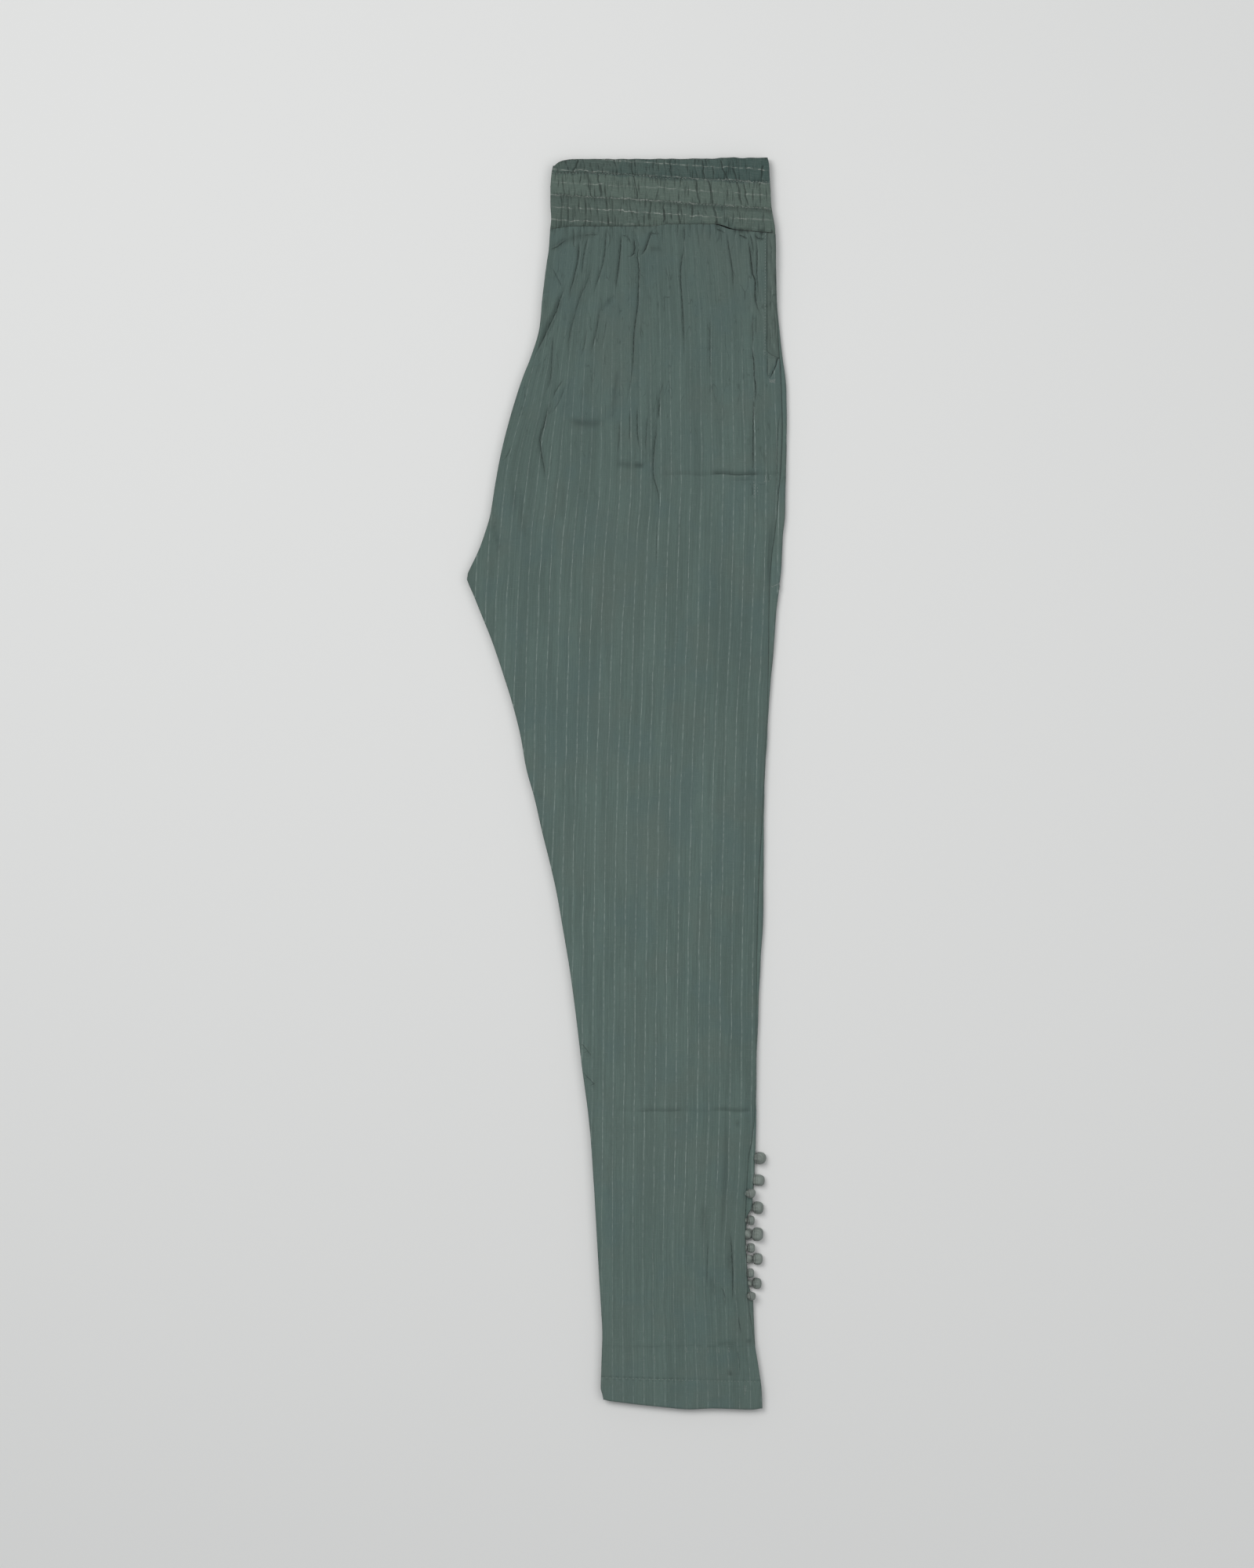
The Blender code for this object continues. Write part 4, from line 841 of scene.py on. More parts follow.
def beside_course(x, down, course, reach):
    """Distance from a course and which side of it (left is negative), and the share run along it."""
    course = np.array(course)
    steps = np.hypot(*np.diff(course, axis=0).T)
    runs = np.concatenate(([0.0], np.cumsum(steps)))
    fine = np.linspace(0.0, runs[-1], max(6, int(runs[-1] / 5.0)))
    line_x = smooth_curve(runs, course[:, 0], fine)
    line_down = smooth_curve(runs, course[:, 1], fine)
    near = (x > line_x.min() - reach) & (x < line_x.max() + reach)
    near = near & (down > line_down.min() - reach) & (down < line_down.max() + reach)
    at_x = x[near]
    at_down = down[near]
    nearest = np.full(at_x.shape, 1e6)
    signed = np.full(at_x.shape, 1e6)
    along = np.zeros(at_x.shape)
    for i in range(len(fine) - 1):
        step_x = line_x[i + 1] - line_x[i]
        step_down = line_down[i + 1] - line_down[i]
        reached = (at_x - line_x[i]) * step_x + (at_down - line_down[i]) * step_down
        t = np.clip(reached / (step_x ** 2 + step_down ** 2), 0.0, 1.0)
        off_x = at_x - line_x[i] - t * step_x
        off_down = at_down - line_down[i] - t * step_down
        away = np.hypot(off_x, off_down)
        side = np.sign(off_x * step_down - off_down * step_x)
        closer = away < nearest
        nearest = np.where(closer, away, nearest)
        signed = np.where(closer, away * side, signed)
        along = np.where(closer, (i + t) / (len(fine) - 1), along)
    return near, signed, along


def fold_relief(x, down, folds):
    """Height added by folds, the painted shade in them and their creases, at each point."""
    relief = np.zeros(x.shape)
    dark = np.zeros(x.shape)
    beside = np.full(x.shape, CREASE_REACH)
    crease = np.zeros(x.shape)
    for row in folds:
        fold = dict(zip(FOLD_COLUMNS, row))
        width = fold["width"]
        near, signed, along = beside_course(x, down, fold["course"], 8.0 * width)
        fade = smooth_step(along, -0.05, 0.22) * smooth_step(along, 1.0, 0.62)
        groove = np.exp(-np.abs(1.25 * signed / width) ** 1.3)
        lip_side = math.copysign(1.0, fold["lip"])
        lip = abs(fold["lip"]) * mound(signed * lip_side - 2.2 * width, 1.6 * width)
        shoulder = 0.35 * fold["depth"] * mound(np.abs(signed) - 3.4 * width, 2.2 * width)
        relief[near] += fade * (1.2 * lip + shoulder - 1.1 * fold["depth"] * groove)
        sharp = float(smooth_step(width, 2.0, 1.4))
        shade = (0.5 - 0.22 * sharp) * fade * fold["dark"]
        dark[near] = np.maximum(dark[near], shade * mound(signed, 0.9 * width))
        strength = sharp * fade * fold["dark"] * smooth_step(np.abs(signed), 3.2, 1.6)
        beside[near], crease[near] = keep_nearest(
            (beside[near], crease[near]), signed, strength, strength > CREASE_FAINTEST)
    return relief, dark, (beside, crease)


def seam_notches(x, from_seam, reach):
    """How deep the notches along the band's seam are and how dark their painted shade is, on one side of the
    seam.
    """
    deep = np.zeros(x.shape)
    dark = np.zeros(x.shape)
    for notch_x, half_width, notch_dark in SEAM_NOTCHES:
        notch = notch_dark * mound(x - notch_x, half_width) * smooth_step(from_seam, *reach)
        deep += notch
        dark = np.maximum(dark, 0.8 * notch)
    return deep, dark


def gathered_at_seam(face, x, down):
    """A face's wall, painted shade and creases with the short gathers and notches under the band."""
    wall, dark, creases = face
    from_seam = down - line_at(BAND_SEAM, x)
    for start_x, run in GATHERS:
        lean = 0.12 * math.sin(3.1 * start_x) * from_seam
        off = x - start_x - lean - 0.3 * np.sin(0.4 * from_seam + start_x)
        fade = smooth_step(from_seam, run, 0.2 * run)
        wall += fade * (0.3 * mound(off - 2.6, 1.8) - 0.6 * mound(off, 1.1))
        dark = np.maximum(dark, 0.15 * fade * mound(off, 0.9))
        strength = (0.15 + 0.45 * math.sin(7.3 * start_x) ** 2) * fade * smooth_step(np.abs(off), 2.4, 1.2)
        creases = keep_nearest(creases, off, strength, strength > CREASE_FAINTEST)
    notched, notch_dark = seam_notches(x, from_seam, (3.4, 0.6))
    return wall - 0.9 * notched, np.maximum(dark, notch_dark), creases


def press_creased(face, x, down):
    """The face with its press creases, each sharp in its middle and darkened by painted shade."""
    wall, dark, creases = face
    for at, begin, end, sharp_from, sharp_to, how_sharp in PRESS_CREASES:
        off = down - at - 0.5 * ripple(x, 0.0, 30.0, 31)
        fade = smooth_step(x, begin, begin + 14.0) * smooth_step(x, end + 2.0, end - 8.0)
        in_middle = smooth_step(x, sharp_from - 6.0, sharp_from) * smooth_step(x, sharp_to + 6.0, sharp_to)
        sharp = (0.35 + 0.65 * in_middle) * how_sharp
        wall += fade * sharp * (0.4 * mound(off + 3.2, 2.6) - 0.7 * mound(off, 1.1))
        dark = np.maximum(dark, 0.5 * fade * sharp * mound(off, np.where(off < 0.0, 3.0, 0.9)))
        strength = 0.75 * fade * sharp ** 2 * smooth_step(np.abs(off), 2.4, 1.2)
        creases = keep_nearest(creases, off, strength, strength > CREASE_FAINTEST)
    return wall, dark, creases


def hemmed(face, x, down):
    """The face with the hem's stitched row, and its turned edge pressed through from inside, both marked with
    painted shade.
    """
    wall, dark, creases = face
    from_hem_row = down - line_at(HEM_STITCHING, x)
    wall += 0.35 * smooth_step(from_hem_row, -1.0, 2.5) - 0.5 * mound(from_hem_row, 0.9)
    # Painted shade in dashes along the hem's row, stronger at the left.
    hem_shade_strength = 0.25 + 0.75 * smooth_step(x, 55.0, 30.0)
    dashes = np.clip(0.4 + 0.8 * np.sin(2.0 * np.pi * x / 5.1 + 3.0 * ripple(x, 0.0, 40.0, 45)), 0.0, 1.0)
    dark = np.maximum(dark, 0.34 * hem_shade_strength * dashes * mound(from_hem_row + 0.9, 0.6))
    dark = np.maximum(dark, 0.34 * hem_shade_strength * (1.0 - dashes) * mound(from_hem_row - 1.1, 0.6))
    off = down - HEM_TURNED_EDGE - 0.5 * ripple(x, 0.0, 26.0, 46)
    pressed = np.exp(-((x - 38.0) / 58.0) ** 4) * (0.55 + 0.45 * ripple(x * 2.4, 0.0, 16.0, 47))
    dark = np.maximum(dark, 0.2 * pressed * mound(off, 1.6))
    creases = keep_nearest(creases, off, 0.16 * pressed, (np.abs(off) < 2.2) & (pressed > 0.1))
    return wall, dark, creases


def leg_front_surface(x, down):
    """Height of the front panel's face and the marks on it, at each point."""
    relief, dark, creases = fold_relief(x, down, FRONT_FOLDS)
    face = gathered_at_seam((FRONT_WALL + relief, dark, creases), x, down)
    wall, dark, creases = hemmed(press_creased(face, x, down), x, down)

    # The pocket's bag pressed through, soft hollows, and the panel's rolled edges.
    over_bag = smooth_step(x, POCKET_BAG_EDGE - 1.5, POCKET_BAG_EDGE + 1.5)
    wall += 0.4 * over_bag * smooth_step(down, POCKET_BAG_END + 2.0, POCKET_BAG_END - 2.0)
    crumpled = 1.0 - 0.75 * smooth_step(down, 170.0, 300.0)
    wall += 0.12 * ripple(x, down, 42.0, 41) + 0.09 * crumpled * ripple(x * 2.0, down * 0.35, 15.0, 42)
    wall += 0.05 * crumpled * ripple(x * 3.0, down * 0.4, 8.0, 44)
    wall -= 0.7 * mound(x - left_edge(down), 2.4)
    rolled = 0.1 + 0.8 * smooth_step(down, 150.0, 180.0)
    wall -= rolled * mound(front_edge(down) - x, 2.6)

    # The dye is warmer inside the pocket's mouth and at the lower left. Painted shade darkens the face
    # towards the waist, a painted fold shadow darkens the left of the rise, and near the outseam the face is
    # a little lighter beside the pocket and darker below it.
    wash = 0.5 + 0.16 * ripple(x, down, 150.0, 43) + 0.05 * smooth_step(down, 700.0, 930.0)
    in_mouth = smooth_step(x, 106.6, 107.6) * smooth_step(down + 1.95 * (x - 107.0), 170.0, 167.5)
    wash += 0.4 * in_mouth + 0.07 * smooth_step(down, 380.0, 560.0) * smooth_step(x, 70.0, 20.0)
    by_outseam = 0.12 * smooth_step(down, 280.0, 400.0) - 0.05 * smooth_step(down, 130.0, 160.0)
    dark = dark + line_at(PAINTED_SHADE_DOWN_LEG, down) + smooth_step(x, 50.0, 85.0) * by_outseam
    dark = dark + 0.07 * mound(down - 225.0, 35.0) * smooth_step(x, -50.0, -85.0)
    height = pile_height(down) + SEAM_GAP + np.clip(wall, FRONT_THINNEST, FRONT_THICKEST)
    return height, face_marks(dark, wash, creases)


def sheet_over(name, x, down, surface, floor_height, rim, chart, material, head=1.0, foot=1.0):
    """A sheet whose face follows a surface and whose rim rolls from it down to a floor height.

    head and foot are how much of the rim's reach its ends have.
    """
    height, marks = surface(x, down)
    top = np.dstack((x, down, height))
    levels = []
    for share, out in rim:
        grid = top.copy()
        grid[:, 0, 0] -= out
        grid[:, -1, 0] += out
        grid[0, :, 1] -= out * head
        grid[-1, :, 1] += out * foot
        grid[:, :, 2] = floor_height(down) + share * (height - floor_height(down))
        levels.append(grid)
    return cloth_sheet(name, levels + [top], chart(x, down), marks, material, plain_under=True)


# Rim of a panel that lies on top: share of its thickness, then how far it stands out.
TOP_RIM = ((0.0, 0.3), (0.12, 0.62), (0.35, 0.8), (0.62, 0.66), (0.86, 0.32))
TOP_RIM_REACH = 0.8
SEAM_RIM = 0.3
ABOVE_PILE = 0.05


def under_leg_front(down):
    """Height of the front panel's underside."""
    return pile_height(down) + ABOVE_PILE


# Rows are close together where the cloth is gathered, creased, pocketed or hemmed.
front_stations = row_stations(
    (53.0, 80.0, 0.9), (80.0, 238.0, 1.5), (238.0, 247.0, 0.9), (247.0, 720.0, 5.0), (720.0, 733.0, 0.9),
    (733.0, 900.0, 4.0), (900.0, 910.0, 1.1), (910.0, 929.0, 3.0), (929.0, 938.0, 1.0), (938.0, 955.6, 2.2))
spread = np.linspace(0.0, 1.0, 278)
closer_at_edges = spread - 0.03 * np.sin(2.0 * np.pi * spread)
front_x, front_down = panel_grid(
    front_stations, closer_at_edges, (left_edge, front_edge), TOP_RIM_REACH, LEG_HEAD, LEG_FOOT)
front_down[0] -= (1.0 - SEAM_RIM) * TOP_RIM_REACH
upper_leg_front = sheet_over(
    "upper_leg_front", front_x, front_down, leg_front_surface, under_leg_front, TOP_RIM, leg_cloth_map,
    LEG_COTTON, head=SEAM_RIM)

# The hem's row, the pocket's rows, and the bars and tacks worked at the mouth, bag and hem.
hem_x = np.linspace(-18.0, 100.0, 40)
hem_row = list(zip(hem_x, line_at(HEM_STITCHING, hem_x)))
hem_stitches = sewn("hem_stitches", leg_front_surface, [hem_row], pitch=2.5, stitch=1.5)
pocket_rows = [
    ((105.4, 59.0), (105.4, 100.0), (105.3, 150.0)),
    ((105.3, 247.2), (109.3, 247.0), (109.4, 242.5)),
    ((96.9, 247.5), (97.2, 254.0), (96.8, 259.0)),
    ((99.4, 249.5), (99.8, 257.0)),
]
pocket_stitches = sewn(
    "pocket_stitches", leg_front_surface, pocket_rows, pitch=2.3, stitch=1.6)
mouth_bar = [(108.6 + 0.55 * i, 170.6 + (1.4 if i % 2 else -1.4)) for i in range(9)]
bag_bar = [(105.4 + 0.35 * (i % 2), 242.6 + 0.45 * i) for i in range(11)]
hem_tacks = [((x, 908.6), (x + 0.2, 911.4)) for x in (45.3, 53.5, 61.6, 69.9, 77.7)]
hem_tacks += [((21.1, 915.0), (21.2, 919.4)), ((28.7, 900.0), (28.2, 903.6))]
hem_tacks += [((89.6, 937.0), (89.9, 943.5)), ((90.9, 937.5), (90.7, 941.0))]
bar_stitches = sewn(
    "bar_stitches", leg_front_surface, [mouth_bar, bag_bar] + hem_tacks, pitch=0.9, stitch=1.3)
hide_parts("front_panel")
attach(upper_leg_front, "root")


# Strip behind the side pocket's mouth
# A narrow piece of the same cotton, sewn in behind the slanted mouth and faded warmer. Only
# its edge shows, between the front panel's turned edge and the outseam.
FACING_FROM = 57.6
FACING_TO = 153.0
FACING_WALL = 1.75
FACING_THINNEST = 0.7
FACING_THICKEST = 2.4
FACING_RIM = ((0.0, 0.1), (0.3, 0.45), (0.7, 0.4))

# Small folds across the strip, in the same columns as the front's.
FACING_FOLDS = (
    (0.4, 0.6, 0.8, 0.2, ((113.6, 82.0), (113.4, 96.0), (115.0, 108.0))),
    (0.4, 0.6, 0.6, -0.2, ((108.6, 62.0), (110.2, 70.0), (109.6, 82.0))),
    (0.4, 0.6, 0.5, 0.2, ((110.5, 96.0), (109.3, 108.0), (110.6, 121.0))),
    (0.4, 0.6, 0.6, 0.2, ((111.8, 116.0), (113.4, 128.0), (113.0, 140.0))),
    (0.3, 0.5, 0.5, -0.2, ((108.4, 128.0), (109.4, 136.0), (108.8, 147.0))),
)


def facing_left(down):
    """The x where the strip comes out from under the front panel's edge."""
    return front_edge(down) - 0.4


def facing_right(down):
    """The x of the strip's outer edge, at the outseam."""
    return edge("upper", down)


def facing_surface(x, down):
    """Height of the strip's face: slightly full, with a groove along the front panel's edge."""
    wall = FACING_WALL + 0.2 * np.sin(np.pi * np.clip((x - front_edge(down)) / 6.5, 0.0, 1.0))
    wall += 0.16 * ripple(x * 2.0, down, 22.0, 51) + 0.1 * ripple(x * 1.5, down, 7.0, 52)
    groove = mound(x - front_edge(down), 0.7)
    wall -= 0.1 * groove + 0.5 * mound(facing_right(down) - x, 1.4)
    wash = 1.0 - 0.2 * smooth_step(down, 110.0, 150.0)
    # Darker all over, with painted shade in the groove by the front panel's edge and at the rolled outer
    # edge.
    dark = 0.33 + 0.1 * groove + 0.3 * mound(facing_right(down) - x, 0.8)
    dark += 0.12 * ripple(x * 2.5, down, 9.0, 53)
    relief, _, creases = fold_relief(x, down, FACING_FOLDS)
    height = pile_height(down) + SEAM_GAP + np.clip(wall + 0.6 * relief, FACING_THINNEST, FACING_THICKEST)
    return height, face_marks(dark, wash, creases)


facing_head = ((0.0, FACING_FROM), (1.0, FACING_FROM))
facing_foot = ((0.0, FACING_TO), (1.0, FACING_TO))
facing_x, facing_down = panel_grid(
    np.arange(FACING_FROM, FACING_TO, 1.2), np.linspace(0.0, 1.0, 14), (facing_left, facing_right), 0.5,
    (facing_head, 70.0), (facing_foot, 150.0))
pocket_strip = sheet_over(
    "pocket_strip", facing_x, facing_down, facing_surface, under_leg_front, FACING_RIM, leg_cloth_map,
    LEG_COTTON)
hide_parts("pocket_facing")
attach(pocket_strip, "root")


# Waistband
# One strip of the cotton with its pale threads crossways, drawn up on a wide elastic that two
# rows of stitching hold in three channels. It is folded with the legs, so it has four layers.
WAIST_EDGE = ((-58.0, 6.3), (-55.8, 3.8), (-52.0, 2.1), (-47.0, 1.3), (-30.0, 1.1), (40.0, 1.0), (62.0, 0.8),
              (80.0, 0.0), (108.0, 0.2))
BAND_ROW_1 = ((-58.0, 12.0), (-48.0, 11.8), (-11.0, 12.8), (7.0, 13.7), (19.5, 14.6), (29.0, 16.0),
              (66.0, 16.6), (80.0, 18.1), (110.0, 18.4))
BAND_ROW_2 = ((-58.0, 28.0), (-35.0, 30.0), (-7.5, 31.5), (24.0, 33.4), (44.0, 35.3), (68.0, 36.6),
              (110.0, 39.6))
BAND_LINES = (WAIST_EDGE, BAND_ROW_1, BAND_ROW_2, BAND_SEAM)
BAND_WAVER = (0.22, 0.4, 0.4, 0.0)
BAND_MIDDLE = 30.0
BAND_STRIPE_PITCH = 9.55
BAND_STRIPE_FIRST = 1.8
BAND_STRIPE_TILT = 0.063
BAND_WALL = 1.75
BAND_THINNEST = 0.7
BAND_THICKEST = 3.0
CHANNEL_FULLNESS = 0.75

# The puckers across each channel, by x.
BAND_PUCKERS = (
    (-51.9, -45.9, -38.9, -33.0, -27.3, -21.9, -17.7, -12.9, -8.6, -3.9, 1.5, 5.9, 10.6, 15.2, 20.3, 29.1,
     34.2, 40.1, 45.6, 52.3, 61.1, 65.8, 71.0, 75.9, 81.1, 85.5, 91.2, 96.7, 103.5),
    (-48.6, -40.5, -35.9, -30.9, -20.4, -16.2, -11.4, -7.5, -3.5, 1.5, 5.1, 9.6, 14.7, 23.3, 28.6, 39.9,
     44.8, 53.9, 59.4, 64.2, 75.9, 80.1, 85.0, 90.3, 96.6, 101.4),
    (-50.1, -45.3, -41.0, -36.3, -31.8, -27.9, -21.9, -14.7, -10.9, -5.1, 0.0, 3.4, 7.6, 13.0, 17.2, 22.5,
     28.5, 34.0, 41.3, 49.5, 54.4, 60.3, 66.9, 75.9, 80.6, 89.7, 95.4, 104.1),
)

# Deeper puckers that cross a channel or run on into the next: x and down at both ends.
LONG_PUCKERS = (
    (80.7, 6.7, 87.9, 36.7),
    (88.5, 20.0, 92.7, 36.7),
    (52.5, 16.0, 55.0, 36.0),
    (62.0, 16.5, 66.0, 37.0),
    (3.3, 2.0, 8.0, 33.0),
    (-37.5, 2.0, -41.5, 14.0),
    (-30.3, 12.0, -27.0, 31.0),
    (-21.9, 12.5, -20.0, 31.0),
    (18.0, 32.0, 17.0, 48.0),
    (39.0, 35.0, 40.5, 51.0),
    (28.5, 34.5, 28.0, 50.0),
    (66.9, 37.0, 68.5, 52.0),
    (104.1, 6.0, 101.0, 22.0),
    (32.0, 2.0, 34.5, 16.0),
    (57.0, 2.0, 59.5, 17.0),
    (71.0, 2.0, 77.0, 18.0),
)

# Across a pucker: depth, half width and steepness of its groove, then height, place and half
# width of the swell beside it, darkness and half width of its shadow, strength of its crease,
# and how faint a pucker is that has none.
PUCKER_COLUMNS = ("groove", "half_width", "steep", "swell", "swell_at", "swell_width", "dark", "dark_width",
                  "crease", "faintest")
CHANNEL_PUCKER = (0.9, 0.7, 1.4, 0.35, 1.5, 0.9, 0.72, 0.33, 0.62, 0.1)
FINE_PUCKER = (0.55, 0.45, 2.0, 0.3, 0.9, 0.5, 0.62, 0.28, 0.5, 0.25)
LONG_PUCKER = (0.8, 0.8, 1.4, 0.3, -1.4, 0.9, 0.7, 0.33, 0.55, 0.1)
FINE_PUCKER_PITCH = 2.3


def band_lines(x):
    """How far down the waist edge, the two stitched rows and the seam lie. The elastic makes them waver."""
    return [
        line_at(line, x) + waver * ripple(x, 0.0, 9.0 + 2.0 * k, 66 + k)
        for k, (line, waver) in enumerate(zip(BAND_LINES, BAND_WAVER))]


def channel_at(down, lines):
    """Which of the band's three channels each point is in, counted from the waist edge."""
    return (down > lines[1]).astype(int) + (down > lines[2])


def band_cloth_map(x, down):
    """The band cloth's own map: its pale threads run crossways, a little set off by each pucker."""
    number = (down - BAND_STRIPE_FIRST - BAND_STRIPE_TILT * (x + 20.0)) / BAND_STRIPE_PITCH
    channel = channel_at(down, band_lines(x))
    draw = np.random.default_rng(60)
    for k, places in enumerate(BAND_PUCKERS):
        shifts = draw.uniform(-0.045, 0.045, len(places) + 1)
        number += np.where(channel == k, shifts[np.searchsorted(places, x + 0.06 * down)], 0.0)
    return np.dstack((number + 0.04 * ripple(x * 2.5, down * 0.5, 16.0, 61), x))


def puckered(face, off, fade, kind):
    """A face's wall, painted shade and creases with one more pucker, as strong as fade at each point."""
    wall, dark, creases = face
    size = dict(zip(PUCKER_COLUMNS, kind))
    wall = wall - size["groove"] * fade * np.exp(-np.abs(off / size["half_width"]) ** size["steep"])
    wall += size["swell"] * fade * mound(off - size["swell_at"], size["swell_width"])
    dark = np.maximum(dark, size["dark"] * fade * mound(off, size["dark_width"]))
    return wall, dark, keep_nearest(creases, off, size["crease"] * fade, fade > size["faintest"])


def drawn_up(face, x, down, channel, share):
    """The face with each channel's puckers, the fine ones between them, and the long ones."""
    draw = np.random.default_rng(62)
    for number, places in enumerate(BAND_PUCKERS):
        inside = channel == number
        for place in places:
            lean = draw.uniform(-1.2, 2.2)
            begin = draw.choice((0.0, 0.0, 0.35))
            end = draw.choice((1.0, 0.8, 0.5))
            deep = draw.uniform(0.35, 1.0)
            bend = draw.uniform(0.2, 0.7) * np.sin(draw.uniform(3.0, 7.0) * share + place)
            off = x - place - lean * (share - 0.5) - bend
            fade = smooth_step(share, begin - 0.15, begin + 0.15) * smooth_step(share, end + 0.15, end - 0.15)
            fade = fade * inside * (0.7 + 0.3 * np.sin(9.0 * share + 3.0 * place))
            face = puckered(face, off, deep * fade, CHANNEL_PUCKER)
        fine_places = np.arange(-56.0, 110.0, FINE_PUCKER_PITCH)
        for place in fine_places + draw.uniform(-1.1, 1.1, len(fine_places)):
            middle = draw.choice((0.0, 0.12, 0.5, 0.88, 1.0))
            tucked = mound(share - middle, draw.uniform(0.14, 0.34))
            off = x - place - draw.uniform(-1.6, 1.6) * (share - middle)
            fade = inside * tucked * draw.uniform(0.3, 1.0)
            face = puckered(face, off, fade, FINE_PUCKER)
    for x1, down1, x2, down2 in LONG_PUCKERS:
        run = (down - down1) / (down2 - down1)
        off = x - x1 - (x2 - x1) * run - 0.5 * np.sin(6.0 * run + x1) - 0.2 * np.sin(17.0 * run + 2.0 * x1)
        fade = smooth_step(run, -0.05, 0.1) * smooth_step(run, 1.05, 0.9)
        face = puckered(face, off, fade, LONG_PUCKER)
    return face


def band_surface(x, down):
    """Height of the band's face and its marks: full channels, pinched by puckers, grooved at its rows."""
    lines = band_lines(x)
    channel = channel_at(down, lines)
    head = np.choose(channel, lines[:3])
    foot = np.choose(channel, lines[1:])
    share = np.clip((down - head) / (foot - head), 0.0, 1.0)
    wall = BAND_WALL + CHANNEL_FULLNESS * np.sin(np.pi * share) ** 0.7
    unmarked = (np.full(x.shape, CREASE_REACH), np.zeros(x.shape))
    wall, dark, creases = drawn_up((wall, np.zeros(x.shape), unmarked), x, down, channel, share)

    # The stitched rows pinch it at every few stitches, and the seam notches its foot, each with painted
    # shade; a painted shadow lies below the second row.
    for line in lines[1:3]:
        off = down - line
        pinch = 0.5 + 0.5 * np.sin(2.0 * np.pi * x / 2.7 + 1.5 * ripple(x, 0.0, 14.0, 63))
        wall -= (0.45 + 0.35 * pinch) * mound(off, 0.8) + 0.22 * pinch * mound(off, 2.6)
        dark = np.maximum(dark, 0.75 * pinch * mound(off, 0.6))
    notched, notch_dark = seam_notches(x, lines[3] - down, (3.0, 0.4))
    wall -= 0.8 * notched
    dark = np.maximum(dark, notch_dark)
    under_row = down - lines[2] - 1.6
    dark = np.maximum(dark, (0.14 + 0.24 * smooth_step(x, 8.0, 32.0)) * mound(under_row, 1.5))

    # Crumples everywhere, more of them by the left edge, and all four edges rolled.
    crumpled = 0.2 + 0.2 * smooth_step(x, -38.0, -52.0)
    wall += crumpled * ripple(x * 1.6, down, 8.0, 64) + 0.12 * ripple(x * 3.0, down, 6.0, 68)
    wall += 0.1 * ripple(x * 2.2, down, 5.0, 69)
    wall -= 0.9 * mound(down - lines[0], 1.2) + 0.5 * mound(lines[3] - down, 1.0)
    wall -= 0.9 * mound(x - left_edge(down), 2.6) + 0.9 * mound(edge("upper", down) - x, 2.6)

    # The dye is cooler in the top channel. The top channel is darker, and the bottom one darker at its left.
    in_top_channel = smooth_step(lines[1] + 1.5 - down, -1.5, 1.5)
    cooler = 0.55 + 0.25 * smooth_step(x, 5.0, 25.0) + 0.15 * smooth_step(x, 60.0, 80.0)
    wash = 1.0 - in_top_channel * cooler
    wash += 0.1 * ripple(x, down, 22.0, 65) - 0.2 * (channel == 2)
    on_left = smooth_step(x, 20.0, -20.0)
    dark = dark + (0.15 + 0.06 * on_left) * (channel == 0) + (0.06 + 0.15 * on_left) * (channel == 2)
    height = BAND_PILE + SEAM_GAP + np.clip(wall, BAND_THINNEST, BAND_THICKEST)
    return height, face_marks(dark, wash, creases)


def band_grid(columns, rows, inset, turn=0.0):
    """x and down of a band layer's points, with so many rows to a channel, each along its lines."""
    share = np.linspace(0.0, 1.0, columns)
    left = left_edge(BAND_MIDDLE)
    lines = band_lines(left + share * (edge("upper", BAND_MIDDLE) - left))
    down = []
    for upper, lower in zip(lines, lines[1:]):
        down += [(1.0 - step) * upper + step * lower for step in np.linspace(0.0, 1.0, rows, endpoint=False)]
    down = np.array(down + [lines[-1]])
    down[0] += inset
    down[-1] -= inset - 0.2
    left = left_edge(down) + inset + turn
    right = edge("upper", down) - inset - turn
    return left + share * (right - left), down


# The band's cotton: a darker copy of the leg's, painted darker for the dimmer light at the waist, with
# brighter pale threads.
BAND_COTTON_PAINTED_DARKER = pinstriped_cotton(
    "band_cotton_painted_darker", ground=(0.084, 0.120, 0.105), stripe=(0.27, 0.295, 0.27),
    cool=(0.058, 0.097, 0.088), warm=(0.090, 0.124, 0.105),
    shows=(-200.0, -100.0), crumpled=(300.0, 400.0), wrinkles=((0.6, 0.22), (1.3, 0.5)), thinnest=0.22)


def band_layer_under(name, layer, rim, seed):
    """One hidden layer of the band: the same three channels, with their fullness at its edges."""
    gap = LAYER_GAP if layer else 0.0
    levels = []
    for share, inset in rim:
        x, down = band_grid(60, 8, 0.5 * inset, 0.35)
        lines = band_lines(x)
        pinch = mound(down - lines[1], 1.4) + mound(down - lines[2], 1.4)
        x[:, 0] += 0.9 * pinch[:, 0] + 0.3 * ripple(down[:, 0], 0.0, 7.0, seed)
        x[:, -1] -= 0.9 * pinch[:, -1] + 0.3 * ripple(down[:, -1], 0.0, 7.0, seed + 1)
        height = BAND_PILE / HIDDEN_LAYERS * (layer + gap + LAYER_FILL * share)
        levels.append(np.dstack((x, down, np.full(x.shape, height))))
    chart = band_cloth_map(levels[-1][:, :, 0], levels[-1][:, :, 1])
    return cloth_sheet(name, levels, chart, {"wash": 0.9}, BAND_COTTON_PAINTED_DARKER)


def under_band_front(down):
    """Height of the underside of the band's face."""
    return np.full(down.shape, BAND_PILE + ABOVE_PILE)


